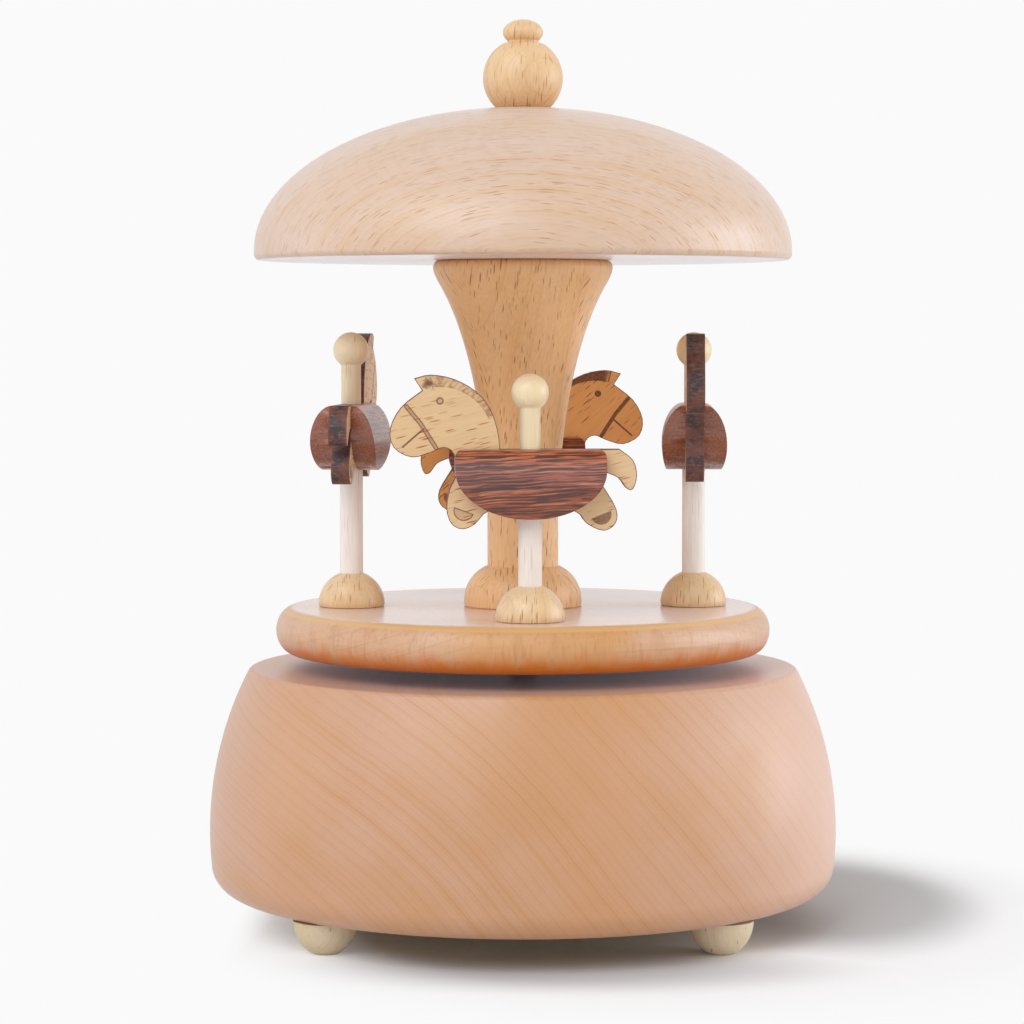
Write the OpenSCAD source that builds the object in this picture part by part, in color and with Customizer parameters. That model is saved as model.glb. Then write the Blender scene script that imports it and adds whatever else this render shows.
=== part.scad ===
// Carousel music box: a turned base with a wind-up musical movement inside, and
// over it a turntable with a column, a canopy and four horses on poles.
// The origin is on the axis of the turntable, on the surface the feet stand on.

/* [Feet] */
// Height of a foot
foot_h = 5.5; // [4:0.1:9]
// Radius of a foot where it meets the base
foot_r = 5.4; // [4:0.1:6.5]
// Radius of the small flat that a foot stands on
foot_flat_r = 2.2; // [1:0.1:3]
// Distance from the base's widest ring in to the middle of a foot
foot_inset = 8.4; // [7:0.1:9.5]
// Radius of the tenon that holds a foot in the base
foot_tenon_r = 2; // [1:0.1:2.5]
// Length of that tenon
foot_tenon_l = 4; // [2:0.5:8]

/* [Base] */
// Height of the base without its feet
base_h = 39; // [36:0.5:60]
// Height of the base's widest ring above its underside
base_widest_h = 10.5; // [8.5:0.5:16]
// How far the widest ring stands out past the top edge
base_flare = 7.1; // [3:0.1:12]
// Thickness of the wall round the pocket, at the top edge
base_wall = 7; // [5:0.1:12]
// Rounding of the top edge
base_top_round = 1.2; // [0.4:0.1:2.5]
// Rounding of the bottom edge
base_bottom_round = 5; // [2:0.1:7]
// Thickness of the wood over the pocket
ceiling_t = 6; // [4:0.5:9]
// Gap between the movement's furthest corner and the pocket's wall
pocket_gap = 0.8; // [0.3:0.1:3]
// Gap round the spindle where it passes through the base
spindle_hole_gap = 1.4; // [0.6:0.1:3]

/* [Cover] */
// Thickness of the bottom cover
cover_t = 3; // [2:0.5:4]
// Width of the ledge that the cover rests on
cover_ledge = 1.8; // [1:0.1:2]
// Gap round the cover's rim
cover_gap = 0.2; // [0.1:0.05:0.4]
// Radius of the lugs in the pocket that take the cover screws
lug_r = 4.2; // [3.6:0.1:5.5]
// Number of sound holes in the cover
sound_holes = 6; // [3:1:8]
// Radius of a sound hole
sound_hole_r = 3.5; // [1:0.5:4]
// Radius of the ring of sound holes
sound_ring_r = 14; // [10:0.5:24]

/* [Turntable] */
// Gap between the base and the turntable
turntable_lift = 2.7; // [1:0.1:8]
// Radius of the turntable
turntable_r = 43.2; // [40:0.1:50]
// Thickness of the turntable
turntable_t = 7.9; // [7:0.1:14]
// How far the rounded rim of the turntable reaches in from its edge
turntable_nose = 3.1; // [1:0.1:5]

/* [Column] */
// Height of the column between the turntable and the canopy
column_h = 60.4; // [55:0.1:90]
// Radius of the column's waist
column_waist_r = 6.2; // [4.5:0.1:8]
// Radius of the column at the top
column_top_r = 15.7; // [12:0.1:19]
// Radius of the column's rounded foot
column_foot_r = 10.3; // [9:0.1:14]
// Height of the foot's rounded shoulder over the turntable
column_foot_h = 7.1; // [4:0.1:12]
// Height at which the column starts to widen
column_flare_z = 13.9; // [12:0.1:20]
// How far the flare would reach out if it went on to its end
column_flare_r = 17.3; // [14:0.1:22]
// How far above the column's top the flare would end
column_flare_over = 3; // [1:0.1:12]
// Rounding of the lip under the canopy
column_lip = 1.2; // [0.5:0.1:2]
// Radius of the tenons at the column's ends
column_tenon_r = 4; // [2:0.1:5]
// Length of the tenon in the turntable
column_low_tenon_l = 3.4; // [2:0.1:4]
// Length of the tenon in the canopy
column_top_tenon_l = 9; // [4:0.5:12]

/* [Canopy] */
// Radius of the canopy
canopy_r = 46.8; // [42:0.1:60]
// Height of the canopy's dome above its rim
canopy_dome_h = 25; // [20:0.1:40]
// Height of the upright rim under the dome
canopy_rim_h = 1.5; // [1.3:0.1:6]
// Rounding of the rim's lower edge
canopy_round = 1; // [0.3:0.1:1.2]

/* [Finial] */
// Radius of the finial's ball
finial_r = 6.95; // [5:0.05:9]
// Radius of the finial where it sits on the canopy
finial_seat_r = 4.6; // [2.5:0.1:4.9]
// Height of the ball from its seat to the neck
finial_ball_h = 11.2; // [8:0.1:11.6]
// Radius of the neck between ball and bead
finial_neck_r = 2.7; // [2:0.1:3]
// Height of the neck
finial_neck_h = 0.5; // [0.2:0.1:1.5]
// Radius of the bead on top
finial_bead_r = 3.5; // [3.2:0.1:5]
// Height of the bead on top
finial_bead_h = 4.5; // [3.5:0.1:7]
// Radius of the finial's tenon
finial_tenon_r = 2; // [1:0.1:2.2]
// Length of the finial's tenon
finial_tenon_l = 7; // [4:0.5:10]

/* [Poles] */
// Distance of the poles from the axis
pole_circle_r = 30; // [28:0.1:34]
// How far the set of poles stands turned
pole_turn = 2.1; // [-20:0.1:20]
// Radius of the half ball at a pole's foot
pole_foot_r = 5.8; // [4:0.1:7]
// Height of that half ball
pole_foot_h = 6.2; // [5.5:0.1:9]
// Radius of the dowel under a horse
dowel_r = 2; // [1.5:0.05:2.3]
// How deep a dowel stands in the turntable
dowel_seat = 4; // [2:0.5:5]
// How deep a dowel reaches up into a horse
dowel_in_horse = 4.6; // [3:0.1:5]
// Radius of the peg's stem over a horse
peg_r = 1.72; // [1.2:0.01:2]
// Radius of the ball on the peg
peg_ball_r = 3.1; // [2.4:0.1:4.5]
// Height of the ball's middle over the horse's back
peg_ball_h = 9.4; // [6:0.1:14]
// How deep the peg reaches down into a horse
peg_in_horse = 4; // [2:0.1:4.5]

/* [Horses] */
// Height of a low horse's back over the turntable
horse_low_h = 28.6; // [25:0.1:34]
// Height of a high horse's back over the turntable
horse_high_h = 35.4; // [30:0.1:40]
// Thickness of the plate that the horse is cut from
plate_t = 3.15; // [2.5:0.05:5]
// Length of the half-moon body
body_l = 25; // [22:0.1:30]
// Thickness of each half-moon
body_t = 4; // [3:0.1:6]
// Height of the body's straight band under the back
body_band_h = 3.3; // [2:0.1:4]
// Height of the round belly under that band
body_belly_h = 8.2; // [6.8:0.1:10]
// Rounding of the body's upper corners
body_corner_r = 1.3; // [0.5:0.1:1.8]
// Height below the back at which the body is thickest
body_bulge_h = 7.2; // [5:0.1:9]

/* [Movement] */
// Thickness of the bedplate
bedplate_t = 2; // [1.5:0.1:3]
// Radius of the winding spindle
spindle_r = 2.45; // [1.8:0.05:3]
// Pitch radius of the great wheel
great_r = 12.5; // [12:0.1:15]
// Teeth on the great wheel
great_teeth = 42; // [36:1:48]
// Teeth on the drum's pinion
pinion_teeth = 12; // [10:1:14]
// Thickness of the great wheel's plate
great_t = 1.9; // [1.2:0.1:2.5]
// Thickness of the spring housing's wall
housing_wall = 0.7; // [0.5:0.05:1.2]
// Height of the spring housing
housing_h = 13.6; // [12:0.1:17]
// Thickness of the mainspring's strip
spring_t = 0.35; // [0.2:0.05:0.45]
// Turns of the mainspring
spring_turns = 7; // [4:1:9]
// Number of notes, each with its track on the drum and its tooth on the comb
notes = 18; // [12:1:20]
// Distance from one track to the next
track_pitch = 0.75; // [0.7:0.01:0.85]
// Radius of the drum
drum_r = 5.5; // [4.6:0.1:5.6]
// How far a pin stands out of the drum
pin_h = 0.5; // [0.3:0.05:0.6]
// Radius of a pin
pin_r = 0.17; // [0.1:0.01:0.2]
// Thickness of the comb
comb_t = 1.2; // [0.8:0.1:2]
// Depth of the solid part of the comb
comb_body_l = 7; // [6:0.1:9]
// Length of the comb's shortest tooth
tooth_short = 4.6; // [4:0.1:6]
// Length of the comb's longest tooth
tooth_long = 8.2; // [6.5:0.1:9]
// Teeth on the drum's gear
drum_gear_teeth = 28; // [24:1:28]
// Teeth on the governor's pinion
gov_pinion_teeth = 8; // [8:1:10]
// Module of the drum's gear and the governor's wheels
gov_module = 0.4; // [0.38:0.01:0.41]
// Teeth on the governor's worm wheel
worm_wheel_teeth = 16; // [14:1:18]
// Radius of the fly's wings
fly_r = 3.4; // [2.2:0.1:3.6]
// Height of the fly's wings
fly_h = 5; // [3:0.1:6]

/* [Fits] */
// Gap round a tenon or dowel that is glued in its hole
glue_gap = 0.05; // [0.02:0.01:0.1]
// Radial gap round a shaft that turns in its bore
running_gap = 0.05; // [0.03:0.01:0.08]
// Gap between a wheel's face and the plate beside it
side_gap = 0.3; // [0.2:0.05:0.4]
// Radial gap round a screw in its hole
screw_gap = 0.05; // [0.02:0.01:0.1]

/* [Hidden] */
$fn = 96;
// How far joined solids reach into each other, and how far a cut runs past a face
eps = 0.01;
cut = 1;

// Colours of the woods and metals
maple = [0.88, 0.70, 0.54];
beech = [0.87, 0.68, 0.46];
pale_beech = [0.92, 0.80, 0.62];
walnut = [0.42, 0.24, 0.18];
steel = [0.66, 0.67, 0.69];
dark_steel = [0.22, 0.20, 0.19];
brass = [0.80, 0.66, 0.36];

// Heights of the turned pieces, from the feet up
base_z = foot_h;
base_top_z = base_z + base_h;
widest_z = base_z + base_widest_h;
ceiling_z = base_top_z - ceiling_t;
turntable_z = base_top_z + turntable_lift;
deck_z = turntable_z + turntable_t;
canopy_z = deck_z + column_h;
dome_z = canopy_z + canopy_rim_h;

// Forms of teeth: how far they reach below and above the pitch line, and the
// shares of a step that they fill at the root and at the tip
crown_tooth = [0.7, 0.6, 0.58, 0.2];
pinion_tooth = [0.72, 0.5, 0.52, 0.2];
gear_tooth = [0.42, 0.3, 0.52, 0.18];
gov_pinion_tooth = [0.42, 0.3, 0.5, 0.16];
worm_wheel_tooth = [0.5, 0.125, 0.42, 0.12];

// The movement hangs under the pocket's ceiling, with its drum along +X
bed_z = ceiling_z - bedplate_t;
bed_margin = 0.5;
bed_screw_edge = 2.5;
great_z = bed_z - side_gap - great_t;
crown_face = 1.5;
crown_lip = 0.05;
great_rim_r = great_r + crown_face / 2 + crown_lip;
pinion_r = great_r * pinion_teeth / great_teeth;
pinion_l = 1.8;
drum_axis_z = great_z - crown_tooth[0] - pinion_r;
housing_r = great_rim_r + side_gap * 2 + housing_wall;
housing_z = bed_z - housing_h;
window_gap = 1.4;
shaft_r = 0.8;
shaft_end = 0.2;
bearing_edge = 2.2;
post_t = 1;
post_w = 6;
post_gap = 0.4;
post_x = housing_r + post_gap;
drum_x = post_x + post_t + side_gap;
drum_margin = 0.5;
drum_wall = 0.6;
drum_l = notes * track_pitch + 2 * drum_margin;
pin_seat = 0.3;
pin_step = 137.5;
gear_t = 1;
drum_gear_x = drum_x + drum_l + side_gap;
drum_gear_r = gov_module * drum_gear_teeth / 2;
frame_x = drum_gear_x + gear_t + side_gap * 2;
frame_t = 1;

// The governor: a wheel beside the drum's end, and a fly on an upright worm
gov_pinion_r = gov_module * gov_pinion_teeth / 2;
gov_pinion_over = 0.1;
gov_y = drum_gear_r + gov_pinion_r;
worm_wheel_r = gov_module * worm_wheel_teeth / 2;
worm_wheel_t = 0.9;
worm_wheel_gap = 0.5;
worm_wheel_x = frame_x + frame_t + worm_wheel_gap;
worm_pitch_r = 1.375;
worm_depth = 0.375;
worm_starts = 2;
worm_lead = worm_starts * PI * gov_module;
worm_l = 1.5 * worm_lead;
worm_slices = 27;
worm_x = worm_wheel_x + worm_wheel_t / 2;
worm_y = gov_y + worm_wheel_r + worm_pitch_r;
outer_plate_x = worm_wheel_x + worm_wheel_t + worm_wheel_gap;
outer_plate_t = 0.8;
gov_shaft_r = 0.5;
fly_shaft_r = 0.45;
fly_t = 0.3;
fly_pivot_l = 0.8;
arm_gap = 0.3;
arm_y = worm_y + fly_r + arm_gap;
arm_t = 1;
arm_w = 2;
fly_gap_z = 1;
frame_foot_t = 0.8;
fly_top_z = drum_axis_z - worm_l / 2 - fly_gap_z;
pivot_z = fly_top_z - fly_h - fly_gap_z;
pivot_t = 0.8;

// The pocket is as wide as the movement needs
movement_reach = max(norm([worm_x, worm_y]) + fly_r,
                     norm([worm_x + arm_w / 2, arm_y + arm_t]),
                     norm([outer_plate_x + outer_plate_t, gov_y + gov_pinion_r]));
pocket_r = movement_reach + pocket_gap;
base_top_r = pocket_r + base_wall;
base_r = base_top_r + base_flare;
foot_circle_r = base_r - foot_inset;
side_rise = base_h - base_widest_h;
side_r = (pow(side_rise, 2) + pow(base_flare, 2)) / (2 * base_flare);
side_x = base_r - side_r;
lug_circle_r = pocket_r - lug_r / 2;
bed_edge_r = pocket_r - pocket_gap;

// Screws, and how much deeper a blind hole is than what stands in it
hole_end_gap = 0.3;
hole_floor = 0.3;
wood_screw_r = 1.2;
wood_screw_head_r = 2.5;
wood_screw_head_h = 1.3;
cover_screws_n = 3;
cover_screw_l = 11;
bed_screw_bite = 3.6;
bed_screw_l = bedplate_t + bed_screw_bite;
machine_screw_r = 1;
machine_head_r = 1.8;
machine_head_h = 1.1;
small_screw_r = 0.7;
small_head_r = 1.1;
head_gap = 0.1;
screw_slot = [0.4, 0.5];
governor_screw_x = frame_x + frame_t + small_head_r + head_gap;
governor_screw_y = 1.6;
bed_screw_gap = 1.2;
bed_screw_circle_r = housing_r + machine_head_r + bed_screw_gap;
bed_screw_angles = [180, 62, -68];
bed_bite = bedplate_t - hole_floor - hole_end_gap;
ear_circle_r = housing_r + machine_head_r;
ear_r = 2.6;
ear_t = 1;
ear_angles = [130, 230];

// The comb, level with the drum's axis
comb_gap = 0.1;
comb_tip_y = -(drum_r + pin_h + comb_gap);
comb_x = drum_x + drum_margin;
comb_w = notes * track_pitch;
comb_slot = 0.2;
comb_back_y = comb_tip_y - tooth_long - comb_body_l;
comb_block_z = drum_axis_z + comb_t / 2;
comb_screw_inset = 3;
comb_screw_bite = 3.5;
// Lead weights under the teeth: the deepest, their length, and their way in from the tips
weight_h = 2.2;
weight_l = 2;
weight_inset = 1;

// The mainspring: a flat strip wound from the spindle out, whose last part runs
// to the housing's wall on the side away from the drum
spring_low_gap = 0.4;
spring_high_gap = 0.9;
spring_in_gap = 0.45;
spring_out_gap = 0.6;
spring_low_z = housing_z + housing_wall + spring_low_gap;
spring_high_z = great_z - crown_tooth[0] - crown_tooth[1] - spring_high_gap;
spring_in_r = spindle_r + spring_in_gap;
spring_out_r = great_r - crown_face - spring_out_gap;
spring_wall_r = housing_r - housing_wall - spring_t / 2 - running_gap;
spring_steps = 30;
spring_tail = 110;
spring_end = 250;

// The ratchet on the spindle, and the click with its spring on the great wheel
ratchet_teeth = 14;
ratchet_r = 4.6;
ratchet_tooth = 0.8;
ratchet_t = 1.2;
ratchet_z = great_z - ratchet_t - side_gap / 3;
click_r = 0.9;
click_rivet_r = 0.5;
click_pivot = [6.2, -6.2];
click_nose_r = ratchet_r - ratchet_tooth + 0.15;
click_back_r = ratchet_r + 0.6;
click_nose_y = [-0.1, -0.7];
click_waist = [0.75, 0];
click_spring_t = 0.3;
click_post = [9.6, 1.8];
click_tip = [5.9, -2];

// The spindle, and the plate that screws the turntable to it
tail_r = 1.5;
tail_l = 0.6;
spindle_seat = 3.4;
hub_t = 1.5;
hub_r = 9;
hub_screw_circle_r = 6.4;
hub_screw_l = 5;

// The column's curves, and the small flat on top of the dome where the finial sits
column_foot_low = 1.1;
column_flare_h = column_h - column_flare_z + column_flare_over;
finial_z = dome_z + canopy_dome_h * sqrt(1 - pow((finial_seat_r + glue_gap) / canopy_r, 2));

// Poles: front, left, back and right
FRONT = 0;
LEFT = 1;
BACK = 2;
RIGHT = 3;
pole_angles = [-90, 180, 90, 0];
back_heights = [horse_low_h, horse_high_h, horse_low_h, horse_high_h];
// Each horse is glued up by hand, so it stands a little turned on its pole
horse_yaws = [0, -7, 0, -4.5];
body_h = body_band_h + body_belly_h;

// The horse's outline, from its pole and its back, head towards -X: [x, z, corner]
horse_points = [
    [-19.2, 11.7, 1], [-17.9, 9.7, 1], [-21.4, 6.9, 0], [-23.2, 3.4, 0], [-22.6, 0.3, 0],
    [-19.6, -1.3, 0], [-16.4, -0.5, 0], [-14.3, 0.3, 0], [-12.7, -0.8, 0], [-12.4, -4.3, 0],
    [-13.4, -6.6, 0], [-13.9, -9.8, 0], [-13.1, -12.3, 0], [-11.3, -13.2, 0], [-9.2, -12.4, 0],
    [-6.6, -10, 0], [0, -8.8, 0], [7.2, -10.2, 0], [9.3, -12.3, 0], [12.1, -13.5, 0],
    [14.1, -12.3, 0], [14.2, -9.8, 0], [11.8, -5.7, 1], [12.3, -3.8, 1], [14.6, -4.8, 0],
    [15.9, -6.5, 0], [17, -6.6, 0], [17.65, -4.4, 0], [17, -1.8, 0], [14.8, 0, 1],
    [-5, 0, 1], [-5.4, 3.2, 0], [-6.7, 6.8, 0], [-9, 9.6, 0], [-12.6, 11.6, 0],
    [-16.4, 12.3, 0]
];
outline_steps = 3;

// ---------------------------------------------------------------- shared shapes

// The right half of an ellipse, for a profile that is turned
module half_ellipse(a, b) {
    intersection() {
        scale([a, b]) circle(r = 1);
        translate([0, -b]) square([a, 2 * b]);
    }
}

module flat_ring(r_in, r_out, h) {
    difference() {
        cylinder(r = r_out, h = h);
        translate([0, 0, -eps]) cylinder(r = r_in, h = h + 2 * eps);
    }
}

// A countersunk wood screw, head at the origin, pointing up
module wood_screw(l) {
    cylinder(r1 = wood_screw_head_r, r2 = wood_screw_r, h = wood_screw_head_h);
    cylinder(r = wood_screw_r, h = l);
}

// A pan-headed machine screw, head under the origin, pointing up
module machine_screw(l, r = machine_screw_r, head_r = machine_head_r) {
    translate([0, 0, -machine_head_h]) difference() {
        cylinder(r = head_r, h = machine_head_h);
        translate([-head_r, -screw_slot[0] / 2, -eps]) cube([2 * head_r, screw_slot[0], screw_slot[1]]);
    }
    translate([0, 0, -eps]) cylinder(r = r, h = l + eps);
}

// One tooth's corner points, with its middle at the given turn
function tooth_points(mid, step, pitch_r, form) = [
    for (p = [[-form[0], -form[2]], [form[1], -form[3]], [form[1], form[3]], [-form[0], form[2]]])
        (pitch_r + p[0]) * [cos(mid + p[1] * step / 2), sin(mid + p[1] * step / 2)]
];

// A spur wheel's outline with teeth that narrow towards their tips
module gear_outline(teeth, pitch_r, form, turn = 0) {
    step = 360 / teeth;
    polygon([for (i = [0:teeth - 1]) each tooth_points(turn + i * step, step, pitch_r, form)]);
}

// Places a shape that was drawn along +Z so that it runs along +X, at height drum_axis_z
module along_drum(x, y = 0) {
    translate([x, y, drum_axis_z]) rotate([90, 0, 90]) children();
}

module on_pole(i) {
    rotate([0, 0, pole_angles[i] + pole_turn]) translate([pole_circle_r, 0, 0])
        rotate([0, 0, 90]) children();
}

module on_horse(i) {
    on_pole(i) translate([0, 0, deck_z + back_heights[i]])
        rotate([0, 0, horse_yaws[i]]) children();
}

// ---------------------------------------------------------------- the base

module base_profile() {
    round_dx = sqrt(pow(side_r - base_top_round, 2) - pow(side_rise - base_top_round, 2));
    round_x = side_x + round_dx;
    touch_z = widest_z + side_r * (side_rise - base_top_round) / (side_r - base_top_round);
    corner_z = base_z + base_bottom_round;
    corner_x = side_x + sqrt(pow(side_r, 2) - pow(widest_z - corner_z, 2)) - base_bottom_round;
    intersection() {
        translate([side_x, widest_z]) circle(r = side_r, $fn = 360);
        translate([0, corner_z]) square([base_r, touch_z - corner_z]);
    }
    translate([0, corner_z]) square([round_x, base_top_z - corner_z]);
    translate([round_x, base_top_z - base_top_round]) circle(r = base_top_round);
    translate([0, base_z]) square([corner_x, base_bottom_round + eps]);
    translate([corner_x, corner_z]) circle(r = base_bottom_round);
}

module at_lugs() {
    for (i = [0:cover_screws_n - 1])
        rotate([0, 0, 180 + i * 360 / cover_screws_n]) translate([lug_circle_r, 0, 0]) children();
}

module at_feet() {
    for (i = [0:3]) rotate([0, 0, 45 + 90 * i]) translate([foot_circle_r, 0, 0]) children();
}

module base_body() color(maple) difference() {
    rotate_extrude() intersection() {
        base_profile();
        translate([0, base_z]) square([base_r + cut, base_h]);
    }
    // pocket for the movement, with a lug left standing for each cover screw
    difference() {
        translate([0, 0, base_z - eps]) cylinder(r = pocket_r, h = ceiling_z - base_z + eps);
        at_lugs() translate([0, 0, base_z + cover_t]) cylinder(r = lug_r, h = base_h);
    }
    // rebate for the cover
    translate([0, 0, base_z - eps]) cylinder(r = pocket_r + cover_ledge, h = cover_t + eps);
    cylinder(r = spindle_r + spindle_hole_gap, h = base_top_z + cut);
    at_lugs() translate([0, 0, base_z])
        cylinder(r = wood_screw_r + screw_gap, h = cover_screw_l + hole_end_gap);
    at_feet() translate([0, 0, base_z - eps])
        cylinder(r = foot_tenon_r + glue_gap, h = foot_tenon_l + hole_end_gap);
    at_bed_screws() translate([0, 0, ceiling_z - eps])
        cylinder(r = wood_screw_r + screw_gap, h = bed_screw_bite + hole_end_gap);
}

module bottom_cover() color(beech) difference() {
    translate([0, 0, base_z]) cylinder(r = pocket_r + cover_ledge - cover_gap, h = cover_t);
    at_lugs() translate([0, 0, base_z - eps]) {
        cylinder(r1 = wood_screw_head_r + screw_gap, r2 = wood_screw_r + screw_gap,
                 h = wood_screw_head_h);
        cylinder(r = wood_screw_r + screw_gap, h = cover_t + cut);
    }
    for (i = [0:sound_holes - 1])
        rotate([0, 0, i * 360 / sound_holes]) translate([sound_ring_r, 0, base_z - cut])
            cylinder(r = sound_hole_r, h = cover_t + 2 * cut);
}

module cover_screws() color(steel)
    at_lugs() translate([0, 0, base_z]) wood_screw(cover_screw_l);

module foot(i) color(pale_beech) {
    drop = foot_h / sqrt(1 - pow(foot_flat_r / foot_r, 2));
    rotate([0, 0, 45 + 90 * i]) translate([foot_circle_r, 0, 0]) {
        rotate_extrude() intersection() {
            translate([0, base_z]) half_ellipse(foot_r, drop);
            square([foot_r, base_z]);
        }
        translate([0, 0, base_z - eps]) cylinder(r = foot_tenon_r, h = foot_tenon_l + eps);
    }
}

// ---------------------------------------------------------------- the movement's frame

module at_bed_screws() {
    for (a = bed_screw_angles) rotate([0, 0, a]) translate([bed_screw_circle_r, 0, 0]) children();
}

module at_ears() {
    for (a = ear_angles) rotate([0, 0, a]) translate([ear_circle_r, 0, 0]) children();
}

module at_comb_screws() {
    for (x = [comb_x + comb_screw_inset, comb_x + comb_w - comb_screw_inset])
        translate([x, comb_back_y + comb_body_l / 2, 0]) children();
}

module bedplate() color(brass) {
    bed_x = -bed_screw_circle_r - bed_screw_edge;
    bed_low_y = comb_back_y - bed_margin;
    bed_end_x = outer_plate_x + outer_plate_t + bed_margin;
    bed_y = max(arm_y + arm_t + bed_margin,
                bed_screw_circle_r * sin(bed_screw_angles[1]) + bed_screw_edge);
    post_z = drum_axis_z - bearing_edge;
    difference() {
        union() {
            intersection() {
                translate([bed_x, bed_low_y, bed_z])
                    cube([bed_end_x - bed_x, bed_y - bed_low_y, bedplate_t]);
                translate([0, 0, bed_z]) cylinder(r = bed_edge_r, h = bedplate_t);
            }
            // block that the comb is screwed to
            translate([comb_x - bed_margin, comb_back_y, comb_block_z])
                cube([comb_w + 2 * bed_margin, comb_body_l, bed_z - comb_block_z + eps]);
            // bearing post at the drum's inner end
            translate([post_x, -post_w / 2, post_z]) cube([post_t, post_w, bed_z - post_z + eps]);
        }
        translate([0, 0, bed_z - cut]) cylinder(r = spindle_r + running_gap, h = bedplate_t + 2 * cut);
        along_drum(post_x - cut) cylinder(r = shaft_r + running_gap, h = post_t + 2 * cut);
        at_bed_screws() translate([0, 0, bed_z - cut])
            cylinder(r = wood_screw_r + screw_gap, h = bedplate_t + 2 * cut);
        at_bed_screws() translate([0, 0, bed_z - eps])
            cylinder(r1 = wood_screw_head_r + screw_gap, r2 = wood_screw_r + screw_gap,
                     h = wood_screw_head_h);
        at_ears() translate([0, 0, bed_z - eps])
            cylinder(r = machine_screw_r + screw_gap, h = bedplate_t - hole_floor);
        at_comb_screws() translate([0, 0, comb_block_z - eps])
            cylinder(r = machine_screw_r + screw_gap, h = comb_screw_bite + hole_end_gap);
        // pivot of the fly's shaft, and the governor's screw
        translate([worm_x, worm_y, bed_z - eps])
            cylinder(r = fly_shaft_r + running_gap, h = fly_pivot_l + side_gap);
        translate([governor_screw_x, governor_screw_y, bed_z - eps])
            cylinder(r = small_screw_r + screw_gap, h = bedplate_t - hole_floor);
    }
}

module movement_screws() color(steel)
    at_bed_screws() translate([0, 0, bed_z]) wood_screw(bed_screw_l);

module spring_housing() color(brass) {
    window_w = pinion_r + window_gap;
    difference() {
        union() {
            translate([0, 0, housing_z]) cylinder(r = housing_r, h = housing_h);
            at_ears() translate([0, 0, bed_z - ear_t]) cylinder(r = ear_r, h = ear_t);
        }
        translate([0, 0, housing_z + housing_wall])
            cylinder(r = housing_r - housing_wall, h = housing_h);
        translate([0, 0, housing_z - cut])
            cylinder(r = tail_r + running_gap, h = housing_wall + 2 * cut);
        // window for the drum's pinion
        translate([great_r - crown_face, -window_w, drum_axis_z - window_w])
            cube([housing_r, 2 * window_w, bed_z - drum_axis_z + window_w + cut]);
        at_ears() translate([0, 0, bed_z - ear_t - cut])
            cylinder(r = machine_screw_r + screw_gap, h = ear_t + 2 * cut);
    }
}

module housing_screws() color(steel)
    at_ears() translate([0, 0, bed_z - ear_t]) machine_screw(ear_t + bed_bite);

function spring_r(a, coil) = a < coil
    ? spring_in_r + (spring_out_r - spring_in_r) * a / coil
    : spring_out_r + (spring_wall_r - spring_out_r) * pow(sin(90 * (a - coil) / spring_tail), 2);

module mainspring() color(steel) {
    coil = 360 * spring_turns;
    total = coil + spring_tail;
    n = ceil(total / 360 * spring_steps);
    path = [for (i = [0:n]) let(a = total * i / n, r = spring_r(a, coil), t = a + spring_end - total)
        [r, t]];
    translate([0, 0, spring_low_z]) linear_extrude(spring_high_z - spring_low_z) polygon(concat(
        [for (p = path) (p[0] + spring_t / 2) * [cos(p[1]), sin(p[1])]],
        [for (i = [n:-1:0]) let(p = path[i]) (p[0] - spring_t / 2) * [cos(p[1]), sin(p[1])]]
    ));
}

module comb() color(steel) difference() {
    union() {
        translate([comb_x, comb_back_y, drum_axis_z - comb_t / 2])
            cube([comb_w, comb_tip_y - comb_back_y, comb_t]);
        // weights under the tips of the longer, lower teeth
        for (i = [0:floor(notes / 2)]) {
            deep = weight_h * (1 - i / notes);
            translate([comb_x + i * track_pitch + comb_slot / 2, comb_tip_y - weight_inset - weight_l,
                       drum_axis_z - comb_t / 2 - deep])
                cube([track_pitch - comb_slot, weight_l, deep + eps]);
        }
    }
    for (i = [0:notes]) {
        l = tooth_long + (tooth_short - tooth_long) * i / notes;
        translate([comb_x + i * track_pitch - comb_slot / 2, comb_tip_y - l,
                   drum_axis_z - comb_t / 2 - cut])
            cube([comb_slot, l + cut, comb_t + 2 * cut]);
    }
    at_comb_screws() translate([0, 0, drum_axis_z - comb_t]) cylinder(
        r = machine_screw_r + screw_gap, h = 2 * comb_t);
}

module comb_screws() color(brass)
    at_comb_screws() translate([0, 0, drum_axis_z - comb_t / 2]) machine_screw(comb_t + comb_screw_bite);

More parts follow.
